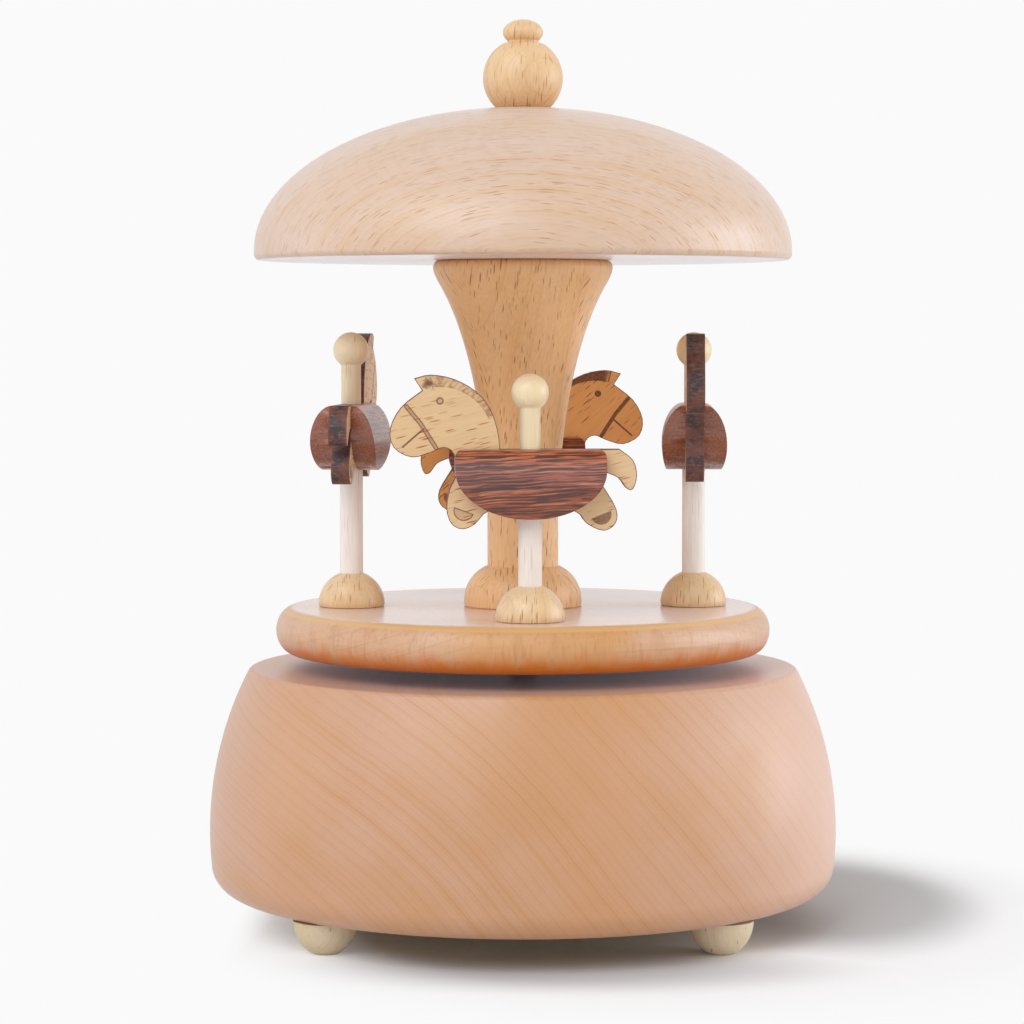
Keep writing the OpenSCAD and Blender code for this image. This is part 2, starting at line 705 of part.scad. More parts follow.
module governor_frame() color(brass) {
    low_y = -post_w / 2;
    low_z = drum_axis_z - bearing_edge;
    plate_y = gov_y + bearing_edge;
    end_x = outer_plate_x + outer_plate_t;
    arm_x = worm_x - arm_w / 2;
    difference() {
        union() {
            // foot against the bedplate
            translate([frame_x, low_y, bed_z - frame_foot_t])
                cube([end_x - frame_x, arm_y + arm_t - low_y, frame_foot_t]);
            // inner plate, with the drum's outer bearing
            translate([frame_x, low_y, low_z]) cube([frame_t, plate_y - low_y, bed_z - low_z]);
            translate([outer_plate_x, gov_y - bearing_edge, low_z])
                cube([outer_plate_t, 2 * bearing_edge, bed_z - low_z]);
            // arm and pivot under the fly
            translate([arm_x, arm_y, pivot_z - pivot_t]) cube([arm_w, arm_t, bed_z - pivot_z + pivot_t]);
            translate([arm_x, worm_y - arm_w / 2, pivot_z - pivot_t])
                cube([arm_w, arm_y - worm_y + arm_w / 2 + arm_t, pivot_t]);
        }
        along_drum(frame_x - cut) cylinder(r = shaft_r + running_gap, h = frame_t + 2 * cut);
        along_drum(frame_x - cut, gov_y)
            cylinder(r = gov_shaft_r + running_gap, h = end_x - frame_x + 2 * cut);
        translate([worm_x, worm_y, pivot_z - pivot_t / 2])
            cylinder(r = fly_shaft_r + running_gap, h = bed_z);
        translate([governor_screw_x, governor_screw_y, bed_z - frame_foot_t - cut])
            cylinder(r = small_screw_r + screw_gap, h = frame_foot_t + 2 * cut);
    }
}

module governor_screw() color(steel)
    translate([governor_screw_x, governor_screw_y, bed_z - frame_foot_t])
        machine_screw(frame_foot_t + bed_bite, small_screw_r, small_head_r);

// ---------------------------------------------------------------- wheels and shafts

module spindle() color(dark_steel) {
    shoulder_z = housing_z + housing_wall + side_gap;
    translate([0, 0, shoulder_z])
        cylinder(r = spindle_r, h = turntable_z + spindle_seat - shoulder_z);
    translate([0, 0, housing_z - tail_l]) cylinder(r = tail_r, h = shoulder_z - housing_z + tail_l + eps);
}

module at_hub_screws() {
    for (i = [0:2]) rotate([0, 0, 90 + 120 * i]) translate([hub_screw_circle_r, 0, 0]) children();
}

module hub_plate() color(steel) difference() {
    translate([0, 0, turntable_z]) cylinder(r = hub_r, h = hub_t);
    translate([0, 0, turntable_z - cut]) cylinder(r = spindle_r + glue_gap, h = hub_t + 2 * cut);
    at_hub_screws() translate([0, 0, turntable_z - eps]) {
        cylinder(r1 = wood_screw_head_r + screw_gap, r2 = wood_screw_r + screw_gap,
                 h = wood_screw_head_h);
        cylinder(r = wood_screw_r + screw_gap, h = hub_t + cut);
    }
}

module hub_screws() color(steel)
    at_hub_screws() translate([0, 0, turntable_z]) wood_screw(hub_screw_l);

// The great wheel has its teeth on its lower face, and drives the drum's pinion
module great_wheel() color(brass) {
    half_step = PI * great_r / great_teeth;
    root_w = crown_tooth[2] * half_step;
    tip_w = crown_tooth[3] * half_step;
    tooth_h = crown_tooth[0] + crown_tooth[1];
    difference() {
        translate([0, 0, great_z]) flat_ring(spindle_r + glue_gap, great_rim_r, great_t);
        for (p = [click_pivot, click_post]) translate([p[0], p[1], great_z - cut])
            cylinder(r = click_rivet_r + running_gap, h = great_t + 2 * cut);
    }
    for (i = [0:great_teeth - 1])
        rotate([0, 0, i * 360 / great_teeth])
            translate([great_r - crown_face / 2, 0, great_z])
                rotate([90, 0, 90]) linear_extrude(crown_face) polygon([
                    [-root_w, eps], [-tip_w, -tooth_h], [tip_w, -tooth_h], [root_w, eps]
                ]);
}

// The ratchet is fixed to the spindle, and drives the great wheel through the click.
// Winding turns the spindle the other way, and the click slips over the teeth.
module ratchet_wheel() color(steel) difference() {
    step = 360 / ratchet_teeth;
    translate([0, 0, ratchet_z]) linear_extrude(ratchet_t) polygon([
        for (i = [0:ratchet_teeth - 1], r = [ratchet_r - ratchet_tooth, ratchet_r])
            r * [cos(i * step), sin(i * step)]
    ]);
    translate([0, 0, ratchet_z - cut]) cylinder(r = spindle_r + glue_gap, h = ratchet_t + 2 * cut);
}

module click() color(steel) translate([0, 0, ratchet_z]) {
    linear_extrude(ratchet_t) {
        translate(click_pivot) circle(r = click_r);
        polygon([
            [click_nose_r, click_nose_y[0]], [click_back_r, click_nose_y[0]],
            click_pivot + click_waist, click_pivot - click_waist, [click_nose_r, click_nose_y[1]]
        ]);
    }
    click_rivet(click_pivot);
}

// Rivet through the great wheel
module click_rivet(place) {
    translate(place) cylinder(r = click_rivet_r, h = great_z + great_t - ratchet_z);
}

// A thin blade that presses the click against the ratchet
module click_spring() color(steel) translate([0, 0, ratchet_z]) {
    side = [0, click_spring_t];
    linear_extrude(ratchet_t)
        polygon([click_post - side / 2, click_tip, click_tip + side, click_post + side / 2]);
    click_rivet(click_post);
}

module drum_cylinder() color(brass) along_drum(drum_x) difference() {
    cylinder(r = drum_r, h = drum_l);
    translate([0, 0, gear_t]) flat_ring(2 * shaft_r, drum_r - drum_wall, drum_l - 2 * gear_t);
    translate([0, 0, -cut]) cylinder(r = shaft_r + glue_gap, h = drum_l + 2 * cut);
}

// Pins on one track: each track has its own number of notes, and its own start
function pins_on(track) = 2 + (track * 5) % 4;
module drum_pins() color(steel) along_drum(drum_x)
    for (track = [0:notes - 1], k = [0:pins_on(track) - 1])
        rotate([0, 0, track * pin_step + k * 360 / pins_on(track)])
            translate([drum_r - pin_seat, 0, drum_margin + (track + 0.5) * track_pitch])
                rotate([0, 90, 0]) cylinder(r = pin_r, h = pin_h + pin_seat, $fn = 16);

module drum_shaft() color(steel) {
    start_x = great_r - pinion_l / 2;
    along_drum(start_x) {
        cylinder(r = shaft_r, h = frame_x + frame_t + shaft_end - start_x);
        linear_extrude(pinion_l)
            gear_outline(pinion_teeth, pinion_r, pinion_tooth, 180 / pinion_teeth);
    }
}

module drum_gear() color(brass) along_drum(drum_gear_x) difference() {
    linear_extrude(gear_t) gear_outline(drum_gear_teeth, drum_gear_r, gear_tooth);
    translate([0, 0, -cut]) cylinder(r = shaft_r + glue_gap, h = gear_t + 2 * cut);
}

module governor_wheel() color(brass) {
    start_x = drum_gear_x - gov_pinion_over;
    end_x = outer_plate_x + outer_plate_t;
    along_drum(start_x, gov_y) {
        cylinder(r = gov_shaft_r, h = end_x - start_x);
        linear_extrude(gear_t + 2 * gov_pinion_over)
            gear_outline(gov_pinion_teeth, gov_pinion_r, gov_pinion_tooth, 180 / gov_pinion_teeth);
    }
    along_drum(worm_wheel_x, gov_y) linear_extrude(worm_wheel_t)
        gear_outline(worm_wheel_teeth, worm_wheel_r, worm_wheel_tooth);
}

// The fly brakes the movement: its worm has two starts, and its wings beat the air
module governor_fly() color(steel) translate([worm_x, worm_y, 0]) {
    start_z = pivot_z - pivot_t / 2 + running_gap;
    translate([0, 0, start_z]) cylinder(r = fly_shaft_r, h = bed_z + fly_pivot_l - start_z);
    // half way up, the worm's hollow faces the wheel
    translate([0, 0, drum_axis_z - worm_l / 2]) rotate([0, 0, 180 * worm_l / worm_lead])
        linear_extrude(worm_l, twist = 360 * worm_l / worm_lead, slices = worm_slices, $fn = 16)
            scale([worm_pitch_r + worm_depth, worm_pitch_r - worm_depth]) circle(r = 1);
    translate([-fly_r, -fly_t / 2, fly_top_z - fly_h]) cube([2 * fly_r, fly_t, fly_h]);
}

// ---------------------------------------------------------------- the carousel

module turntable() color(maple) difference() {
    rotate_extrude() {
        translate([0, turntable_z]) square([turntable_r - turntable_nose, turntable_t]);
        translate([turntable_r - turntable_nose, turntable_z + turntable_t / 2])
            half_ellipse(turntable_nose, turntable_t / 2);
    }
    translate([0, 0, turntable_z - eps]) cylinder(r = hub_r + glue_gap, h = hub_t + eps);
    translate([0, 0, turntable_z]) cylinder(r = spindle_r + glue_gap, h = spindle_seat + hole_end_gap);
    at_hub_screws() translate([0, 0, turntable_z])
        cylinder(r = wood_screw_r + screw_gap, h = hub_screw_l + hole_end_gap);
    translate([0, 0, deck_z - column_low_tenon_l - hole_end_gap])
        cylinder(r = column_tenon_r + glue_gap, h = column_low_tenon_l + cut);
    for (i = [FRONT:RIGHT]) on_pole(i) translate([0, 0, deck_z - dowel_seat])
        cylinder(r = dowel_r + glue_gap, h = dowel_seat + cut);
}

// The column is turned in one piece: a rounded foot, a slim waist and a wide flare
module column() color(beech) {
    reach = column_foot_r - column_waist_r;
    foot_round = (pow(reach, 2) + pow(column_foot_h - column_foot_low, 2)) / (2 * reach);
    rotate_extrude() {
        translate([0, deck_z]) square([column_waist_r, column_h]);
        intersection() {
            translate([0, deck_z]) square([column_foot_r, column_foot_h]);
            union() {
                translate([column_foot_r - foot_round, deck_z + column_foot_low])
                    circle(r = foot_round);
                translate([0, deck_z]) square([column_foot_r, column_foot_low]);
            }
        }
        difference() {
            union() {
                translate([0, deck_z + column_flare_z])
                    square([column_top_r, column_h - column_flare_z - column_lip]);
                translate([0, deck_z + column_flare_z])
                    square([column_top_r - column_lip, column_h - column_flare_z]);
                translate([column_top_r - column_lip, canopy_z - column_lip]) circle(r = column_lip);
            }
            translate([column_waist_r + column_flare_r, deck_z + column_flare_z])
                scale([column_flare_r, column_flare_h]) circle(r = 1, $fn = 180);
        }
    }
    translate([0, 0, deck_z - column_low_tenon_l])
        cylinder(r = column_tenon_r, h = column_low_tenon_l + eps);
    translate([0, 0, canopy_z - eps]) cylinder(r = column_tenon_r, h = column_top_tenon_l + eps);
}

module canopy() color(maple) difference() {
    rotate_extrude() {
        intersection() {
            translate([0, dome_z]) half_ellipse(canopy_r, canopy_dome_h);
            translate([0, dome_z]) square([canopy_r, canopy_dome_h]);
        }
        translate([0, canopy_z]) square([canopy_r - canopy_round, canopy_rim_h + eps]);
        translate([0, canopy_z + canopy_round])
            square([canopy_r, canopy_rim_h - canopy_round + eps]);
        translate([canopy_r - canopy_round, canopy_z + canopy_round]) circle(r = canopy_round);
    }
    translate([0, 0, canopy_z - eps])
        cylinder(r = column_tenon_r + glue_gap, h = column_top_tenon_l + hole_end_gap);
    translate([0, 0, finial_z - finial_tenon_l - hole_end_gap])
        cylinder(r = finial_tenon_r + glue_gap, h = finial_tenon_l + canopy_dome_h);
    translate([0, 0, finial_z]) cylinder(r = finial_seat_r + glue_gap, h = canopy_dome_h);
}

module finial() color(beech) {
    ball_z = finial_z + sqrt(pow(finial_r, 2) - pow(finial_seat_r, 2));
    neck_z = finial_z + finial_ball_h;
    bead_z = neck_z + finial_neck_h + finial_bead_h / 2
        * sqrt(1 - pow(finial_neck_r / finial_bead_r, 2));
    rotate_extrude() {
        intersection() {
            translate([0, ball_z]) half_ellipse(finial_r, finial_r);
            translate([0, finial_z]) square([finial_r, finial_ball_h]);
        }
        translate([0, neck_z - eps]) square([finial_neck_r, finial_neck_h + finial_bead_h / 2]);
        translate([0, bead_z]) half_ellipse(finial_bead_r, finial_bead_h / 2);
    }
    translate([0, 0, finial_z - finial_tenon_l])
        cylinder(r = finial_tenon_r, h = finial_tenon_l + eps);
}

// ---------------------------------------------------------------- poles and horses

module pole_foot(i) color(beech) on_pole(i) translate([0, 0, deck_z]) difference() {
    rotate_extrude() intersection() {
        translate([0, pole_foot_h - pole_foot_r]) half_ellipse(pole_foot_r, pole_foot_r);
        square([pole_foot_r, pole_foot_h]);
    }
    translate([0, 0, -cut]) cylinder(r = dowel_r + glue_gap, h = pole_foot_h + 2 * cut);
}

module dowel(i) color(pale_beech) on_pole(i) translate([0, 0, deck_z - dowel_seat])
    cylinder(r = dowel_r, h = dowel_seat + back_heights[i] - body_h + dowel_in_horse);

module peg(i) color(pale_beech) on_pole(i) translate([0, 0, deck_z + back_heights[i]]) {
    translate([0, 0, -peg_in_horse]) cylinder(r = peg_r, h = peg_in_horse + peg_ball_h);
    translate([0, 0, peg_ball_h]) sphere(r = peg_ball_r);
}

// Holes for the peg and the dowel, through the plate and both halves of the body
module horse_bores() {
    translate([0, 0, -peg_in_horse - hole_end_gap])
        cylinder(r = peg_r + glue_gap, h = peg_in_horse + hole_end_gap + cut);
    translate([0, 0, -body_h - cut])
        cylinder(r = dowel_r + glue_gap, h = cut + dowel_in_horse + hole_end_gap);
}

// A curve through the points: round at each point, but sharp where one is marked a corner
function at(points, i) = points[(i + len(points)) % len(points)];
function flat(p) = [p[0], p[1]];
function leaving(points, i) = let(here = at(points, i), next = at(points, i + 1), last = at(points, i - 1))
    here[2] == 1 ? flat(next) - flat(here) : (flat(next) - flat(last)) / 2;
function arriving(points, i) = let(here = at(points, i), next = at(points, i + 1), last = at(points, i - 1))
    here[2] == 1 ? flat(here) - flat(last) : (flat(next) - flat(last)) / 2;
function straight(points, i) = at(points, i)[2] == 1 && at(points, i + 1)[2] == 1;
function curve_point(points, i, t) =
    flat(at(points, i)) * (2 * pow(t, 3) - 3 * pow(t, 2) + 1)
    + flat(at(points, i + 1)) * (3 * pow(t, 2) - 2 * pow(t, 3))
    + leaving(points, i) * (pow(t, 3) - 2 * pow(t, 2) + t)
    + arriving(points, i + 1) * (pow(t, 3) - pow(t, 2));
function curve_through(points, steps) = [
    for (i = [0:len(points) - 1], k = [0:(straight(points, i) ? 0 : steps - 1)])
        curve_point(points, i, k / steps)
];

module horse_plate(i) color(pale_beech) on_horse(i) difference() {
    translate([0, plate_t / 2, 0]) rotate([90, 0, 0]) linear_extrude(plate_t)
        polygon(curve_through(horse_points, outline_steps));
    horse_bores();
}

module body_side() {
    half_l = body_l / 2;
    intersection() {
        translate([0, -body_band_h]) scale([half_l, body_belly_h]) circle(r = 1);
        translate([-half_l, -body_h]) square([body_l, body_belly_h]);
    }
    translate([-half_l, -body_band_h - eps]) square([body_l, body_band_h - body_corner_r + eps]);
    translate([-half_l + body_corner_r, -body_band_h])
        square([body_l - 2 * body_corner_r, body_band_h]);
    for (s = [-1, 1]) translate([s * (half_l - body_corner_r), -body_corner_r])
        circle(r = body_corner_r);
}

// Half a walnut body: seen from the side a half moon, seen from the end a bulge
module body_half(i, side) color(walnut) on_horse(i) difference() {
    intersection() {
        translate([0, side > 0 ? plate_t / 2 + body_t : -plate_t / 2, 0])
            rotate([90, 0, 0]) linear_extrude(body_t) body_side();
        translate([-body_l / 2 - cut, side * plate_t / 2, -body_bulge_h])
            rotate([90, 0, 90]) linear_extrude(body_l + 2 * cut)
                scale([body_t, body_bulge_h]) circle(r = 1);
    }
    horse_bores();
}

base_body();
bottom_cover();
cover_screws();
foot(0);  // foot_1
foot(1);  // foot_2
foot(2);  // foot_3
foot(3);  // foot_4
bedplate();
movement_screws();
spring_housing();
housing_screws();
mainspring();
comb();
comb_screws();
governor_frame();
governor_screw();
spindle();
hub_plate();
hub_screws();
great_wheel();
ratchet_wheel();
click();
click_spring();
drum_cylinder();
drum_pins();
drum_shaft();
drum_gear();
governor_wheel();
governor_fly();
turntable();
column();
canopy();
finial();
pole_foot(FRONT);  // front_pole_foot
pole_foot(LEFT);  // left_pole_foot
pole_foot(BACK);  // back_pole_foot
pole_foot(RIGHT);  // right_pole_foot
dowel(FRONT);  // front_dowel
dowel(LEFT);  // left_dowel
dowel(BACK);  // back_dowel
dowel(RIGHT);  // right_dowel
peg(FRONT);  // front_peg
peg(LEFT);  // left_peg
peg(BACK);  // back_peg
peg(RIGHT);  // right_peg
horse_plate(FRONT);  // front_horse_plate
horse_plate(LEFT);  // left_horse_plate
horse_plate(BACK);  // back_horse_plate
horse_plate(RIGHT);  // right_horse_plate
body_half(FRONT, -1);  // front_outer_half
body_half(LEFT, -1);  // left_outer_half
body_half(BACK, -1);  // back_outer_half
body_half(RIGHT, -1);  // right_outer_half
body_half(FRONT, 1);  // front_inner_half
body_half(LEFT, 1);  // left_inner_half
body_half(BACK, 1);  // back_inner_half
body_half(RIGHT, 1);  // right_inner_half
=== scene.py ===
import math

import bpy
from mathutils import Matrix, Vector


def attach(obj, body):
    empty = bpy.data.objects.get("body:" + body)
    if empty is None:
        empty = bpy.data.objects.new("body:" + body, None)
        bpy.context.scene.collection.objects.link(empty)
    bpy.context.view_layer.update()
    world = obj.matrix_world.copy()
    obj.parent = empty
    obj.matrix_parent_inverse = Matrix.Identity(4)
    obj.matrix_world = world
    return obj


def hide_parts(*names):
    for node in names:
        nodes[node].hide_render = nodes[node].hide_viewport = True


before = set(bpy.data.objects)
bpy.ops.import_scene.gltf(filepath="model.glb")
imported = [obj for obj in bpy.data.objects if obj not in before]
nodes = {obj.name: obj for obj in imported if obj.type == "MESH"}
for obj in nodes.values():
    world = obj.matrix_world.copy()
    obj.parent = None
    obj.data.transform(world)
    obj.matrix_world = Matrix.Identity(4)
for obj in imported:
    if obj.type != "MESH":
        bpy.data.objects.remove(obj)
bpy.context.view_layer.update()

MM = 0.001

# ---------------------------------------- base body
# The base is one block of maple, turned on a lathe and hollowed from below for the
# movement. Its growth rings run through it from front to back, round a heart that lay
# low on the left, so their ends slant down across the front. It has a satin lacquer.


def srgb(red, green, blue):
    """A colour given as 0 to 255, as the renderer's own linear value."""
    def linear(part):
        part /= 255
        return part / 12.92 if part <= 0.04045 else ((part + 0.055) / 1.055) ** 2.4
    return (linear(red), linear(green), linear(blue), 1)


def feed(tree, node, inputs):
    """Sets inputs of a node. Each is a value, or the output of another node."""
    for name, value in inputs.items():
        if isinstance(value, bpy.types.NodeSocket):
            tree.links.new(value, node.inputs[name])
        else:
            node.inputs[name].default_value = value


def add_node(tree, kind, inputs=None, **settings):
    made = tree.nodes.new("ShaderNode" + kind)
    for name, value in settings.items():
        setattr(made, name, value)
    feed(tree, made, inputs or {})
    return made


def calc(tree, operation, first, second=0.0, third=0.0):
    inputs = {0: first, 1: second, 2: third}
    return add_node(tree, "Math", inputs, operation=operation).outputs[0]


def product(tree, first, *others):
    for other in others:
        first = calc(tree, "MULTIPLY", first, other)
    return first


def distance(tree, value, middle):
    """How far a value is from a middle one, either way."""
    return calc(tree, "ABSOLUTE", calc(tree, "SUBTRACT", value, middle))


def vector_calc(tree, operation, first, second=None, scale=None):
    inputs = {0: first}
    if second is not None:
        inputs[1] = second
    if scale is not None:
        inputs[3] = scale
    made = add_node(tree, "VectorMath", inputs, operation=operation)
    return made.outputs["Value" if operation in ("LENGTH", "DOT_PRODUCT") else "Vector"]


def parts_of(tree, vector):
    return add_node(tree, "SeparateXYZ", {0: vector}).outputs


def join(tree, x=0.0, y=0.0, z=0.0):
    return add_node(tree, "CombineXYZ", {0: x, 1: y, 2: z}).outputs[0]


def coords(tree, kind="Object"):
    return add_node(tree, "TexCoord").outputs[kind]


def noise(tree, place, scale, detail=1.0, stretch=(1, 1, 1)):
    """Noise of so many waves to the metre. A stretch below 1 draws it out along that axis."""
    if stretch != (1, 1, 1):
        place = vector_calc(tree, "MULTIPLY", place, stretch)
    return add_node(tree, "TexNoise",
                    {"Vector": place, "Scale": scale, "Detail": detail}).outputs[0]


def ease(tree, value, low, high):
    """0 below low, 1 above high, and smooth between them. Low may be the greater."""
    return add_node(tree, "MapRange", {"Value": value, "From Min": low, "From Max": high},
                    interpolation_type="SMOOTHSTEP").outputs["Result"]


def blend_colour(tree, share, first, second):
    """A mix of two colours. The Mix node's colour sockets are its 7th and 8th."""
    return add_node(tree, "Mix", {0: share, 6: first, 7: second}, data_type="RGBA").outputs[2]


def tint(tree, colour, share, strength, tone):
    """The colour with a tone over it, by the share times the strength."""
    return blend_colour(tree, calc(tree, "MULTIPLY", share, strength), colour, srgb(*tone))


def new_group(name, inputs, outputs):
    """An empty node group: (group, its input sockets, its output node)."""
    group = bpy.data.node_groups.new(name, "ShaderNodeTree")
    kinds = {float: "NodeSocketFloat", tuple: "NodeSocketColor", Vector: "NodeSocketVector"}
    for title, value in inputs.items():
        socket = group.interface.new_socket(title, in_out="INPUT",
                                            socket_type=kinds[type(value)])
        socket.default_value = value
    for title, kind in outputs.items():
        group.interface.new_socket(title, in_out="OUTPUT", socket_type=kinds[kind])
    return group, group.nodes.new("NodeGroupInput").outputs, group.nodes.new("NodeGroupOutput")


def use_group(tree, group, inputs):
    made = tree.nodes.new("ShaderNodeGroup")
    made.node_tree = group
    feed(tree, made, inputs)
    return made.outputs


# Growth rings: thin lines on cylinders round the log's heart, which is the Z axis. Facing is
# how squarely the surface faces the rings, where it would cut their lines wider.
growth_rings, given, result = new_group(
    "growth rings",
    {"Vector": Vector(), "Normal": Vector((0, 0, 1)), "Spacing": 0.003, "Inner": 0.0,
     "Growth": 1.0, "Waver": 0.001, "Width": 0.12, "Breaks": 0.0},
    {"Line": float, "Tone": float, "Ray": float, "Place": Vector, "Facing": float})
tree = growth_rings
across = vector_calc(tree, "MULTIPLY", given["Vector"], (1, 1, 0))
outward = vector_calc(tree, "NORMALIZE", across)
drift = calc(tree, "MULTIPLY_ADD", noise(tree, given["Vector"], 190.0), 0.07,
             noise(tree, given["Vector"], 17.0))
true_r = calc(tree, "MULTIPLY_ADD", calc(tree, "SUBTRACT", drift, 0.5), given["Waver"],
              vector_calc(tree, "LENGTH", across))
grown = calc(tree, "MAXIMUM", calc(tree, "SUBTRACT", true_r, given["Inner"]), 0.0)
grown = calc(tree, "POWER", calc(tree, "DIVIDE", grown, given["Spacing"]), given["Growth"])
# years differ: a slow wave squeezes and stretches the rings
slow_years = add_node(tree, "TexNoise", {"W": grown, "Scale": 0.16, "Detail": 1.0},
                      noise_dimensions="1D").outputs[0]
grown = calc(tree, "MULTIPLY_ADD", slow_years, 3.2, grown)
year = calc(tree, "FLOOR", grown)
year_tone = add_node(tree, "TexWhiteNoise", {"W": year}, noise_dimensions="1D").outputs["Value"]
facing = calc(tree, "ABSOLUTE", vector_calc(tree, "DOT_PRODUCT", outward, given["Normal"]))
facing = calc(tree, "MINIMUM", facing, 1.0)
slant = calc(tree, "SQRT", calc(tree, "SUBTRACT", 1.02, product(tree, facing, facing)))
half_width = product(tree, given["Width"], slant)


def ring_line(count, width):
    """1 on the line that a ring count crosses at each half, and 0 beside it."""
    off = distance(growth_rings, calc(growth_rings, "FRACT", count), 0.5)
    return ease(growth_rings, off, width, product(growth_rings, width, 0.25))


season = calc(tree, "FRACT", grown)
soft = product(tree, ease(tree, season, 0.05, 0.5), ease(tree, season, 0.58, 0.5))
line = product(tree, ring_line(grown, half_width),
               calc(tree, "MULTIPLY_ADD", year_tone, 0.65, 0.35))
line = calc(tree, "MAXIMUM", line, product(tree, soft, 0.2))
fine_line = ring_line(product(tree, grown, 3.0), product(tree, half_width, 1.6))
line = calc(tree, "MAXIMUM", line, product(tree, fine_line, 0.24))
parts = parts_of(tree, given["Vector"])
round_way = product(tree, calc(tree, "ARCTAN2", parts[1], parts[0]), 0.1)
# a turned surface cuts each line into dashes
broken = ease(tree, noise(tree, join(tree, product(tree, year, 0.013), round_way, parts[2]),
                          330.0), 0.44, 0.58)
kept = calc(tree, "SUBTRACT", 1.0,
            product(tree, given["Breaks"], calc(tree, "SUBTRACT", 1.0, broken)))
# rays: faint streaks that run straight out from the heart
ray_step = calc(tree, "MULTIPLY_ADD", true_r, 0.08, product(tree, parts[2], 0.32))
rays = noise(tree, vector_calc(tree, "ADD", vector_calc(tree, "SCALE", outward, scale=0.42),
                               join(tree, z=ray_step)), 1000.0)
feed(tree, result, {
    "Line": product(tree, line, kept), "Tone": year_tone, "Ray": ease(tree, rays, 0.5, 0.72),
    "Place": join(tree, true_r, round_way, parts[2]), "Facing": facing})

# Flecks: the thin dark lenses of rays and pores. Cell is the room that each takes up: X across
# its thin way, Y through the wood, and Z along it. Facing is how squarely the surface faces X.
wood_flecks, given, result = new_group(
    "wood flecks", {"Vector": Vector(), "Cell": Vector((0.001, 0.006, 0.004)), "Amount": 0.5,
                    "Facing": 0.0},
    {"Fleck": float})
tree = wood_flecks
shrunk = vector_calc(tree, "DIVIDE", given["Vector"], given["Cell"])
wander = add_node(tree, "TexNoise", {"Vector": shrunk, "Scale": 0.35, "Detail": 1.0})
moved = vector_calc(tree, "ADD", shrunk, wander.outputs["Color"])
cells = add_node(tree, "TexVoronoi", {"Vector": moved, "Scale": 1.0, "Randomness": 1.0}).outputs
slant = calc(tree, "SQRT",
             calc(tree, "SUBTRACT", 1.03, calc(tree, "POWER", given["Facing"], 2.0)))
off = vector_calc(tree, "LENGTH", vector_calc(
    tree, "MULTIPLY", vector_calc(tree, "SUBTRACT", moved, cells["Position"]),
    join(tree, calc(tree, "DIVIDE", 1.0, slant), 1.0, 1.0)))
chance = add_node(tree, "SeparateColor", {0: cells["Color"]}).outputs
size = calc(tree, "MULTIPLY_ADD", chance[1], 0.2, 0.22)
fleck = ease(tree, off, size, product(tree, size, 0.5))
shown = calc(tree, "LESS_THAN", chance[0], given["Amount"])
dark = calc(tree, "MULTIPLY_ADD", chance[2], 0.65, 0.35)
feed(tree, result, {"Fleck": product(tree, fleck, shown, dark)})

# Timber: slow patches of colour, fibres and growth rings, with the grain along Z
timber, given, result = new_group(
    "timber",
    {"Vector": Vector(), "Normal": Vector((0, 0, 1)), "Pale": (1, 1, 1, 1),
     "Warm": (1, 1, 1, 1), "Line": (1, 1, 1, 1), "Ring Spacing": 0.003, "Ring Inner": 0.0,
     "Ring Growth": 1.0, "Ring Waver": 0.001, "Ring Width": 0.12, "Ring Breaks": 0.0,
     "Ring Strength": 0.5, "Ray Strength": 0.0, "Fibre Strength": 0.3},
    {"Color": tuple, "Height": float, "Dullness": float, "Ring Place": Vector,
     "Ring Facing": float})
tree = timber
rings = use_group(tree, growth_rings, {
    "Vector": given["Vector"], "Normal": given["Normal"],
    **{key: given["Ring " + key] for key in ("Spacing", "Inner", "Growth", "Waver", "Width",
                                             "Breaks")}})
patches = noise(tree, given["Vector"], 42.0, 2.0, (1, 1, 0.35))
patch = ease(tree, calc(tree, "MULTIPLY_ADD", rings["Tone"], 0.14, patches), 0.4, 0.78)
body = blend_colour(tree, patch, given["Pale"], given["Warm"])
fibre = calc(tree, "SUBTRACT", noise(tree, given["Vector"], 3200.0, 3.0, (1, 1, 0.06)), 0.5)
body = vector_calc(tree, "MULTIPLY", body,
                   calc(tree, "MULTIPLY_ADD", fibre, given["Fibre Strength"], 1.0))
for mark, strength in (("Line", "Ring Strength"), ("Ray", "Ray Strength")):
    body = blend_colour(tree, product(tree, rings[mark], given[strength]), body, given["Line"])
feed(tree, result, {
    "Color": body, "Dullness": product(tree, fibre, 0.12),
    "Height": calc(tree, "MULTIPLY_ADD", rings["Line"], -0.05, product(tree, fibre, 0.5)),
    "Ring Place": rings["Place"], "Ring Facing": rings["Facing"]})


def object_place(tree, heart, turn, kind="Object"):
    """Object coordinates, or the surface's normal, seen from a log that lies along local Z."""
    given = {"Vector": coords(tree, kind), "Rotation": [math.radians(a) for a in turn]}
    if kind == "Object":
        given["Location"] = Vector(heart) * MM
    return add_node(tree, "Mapping", given, vector_type="TEXTURE").outputs[0]


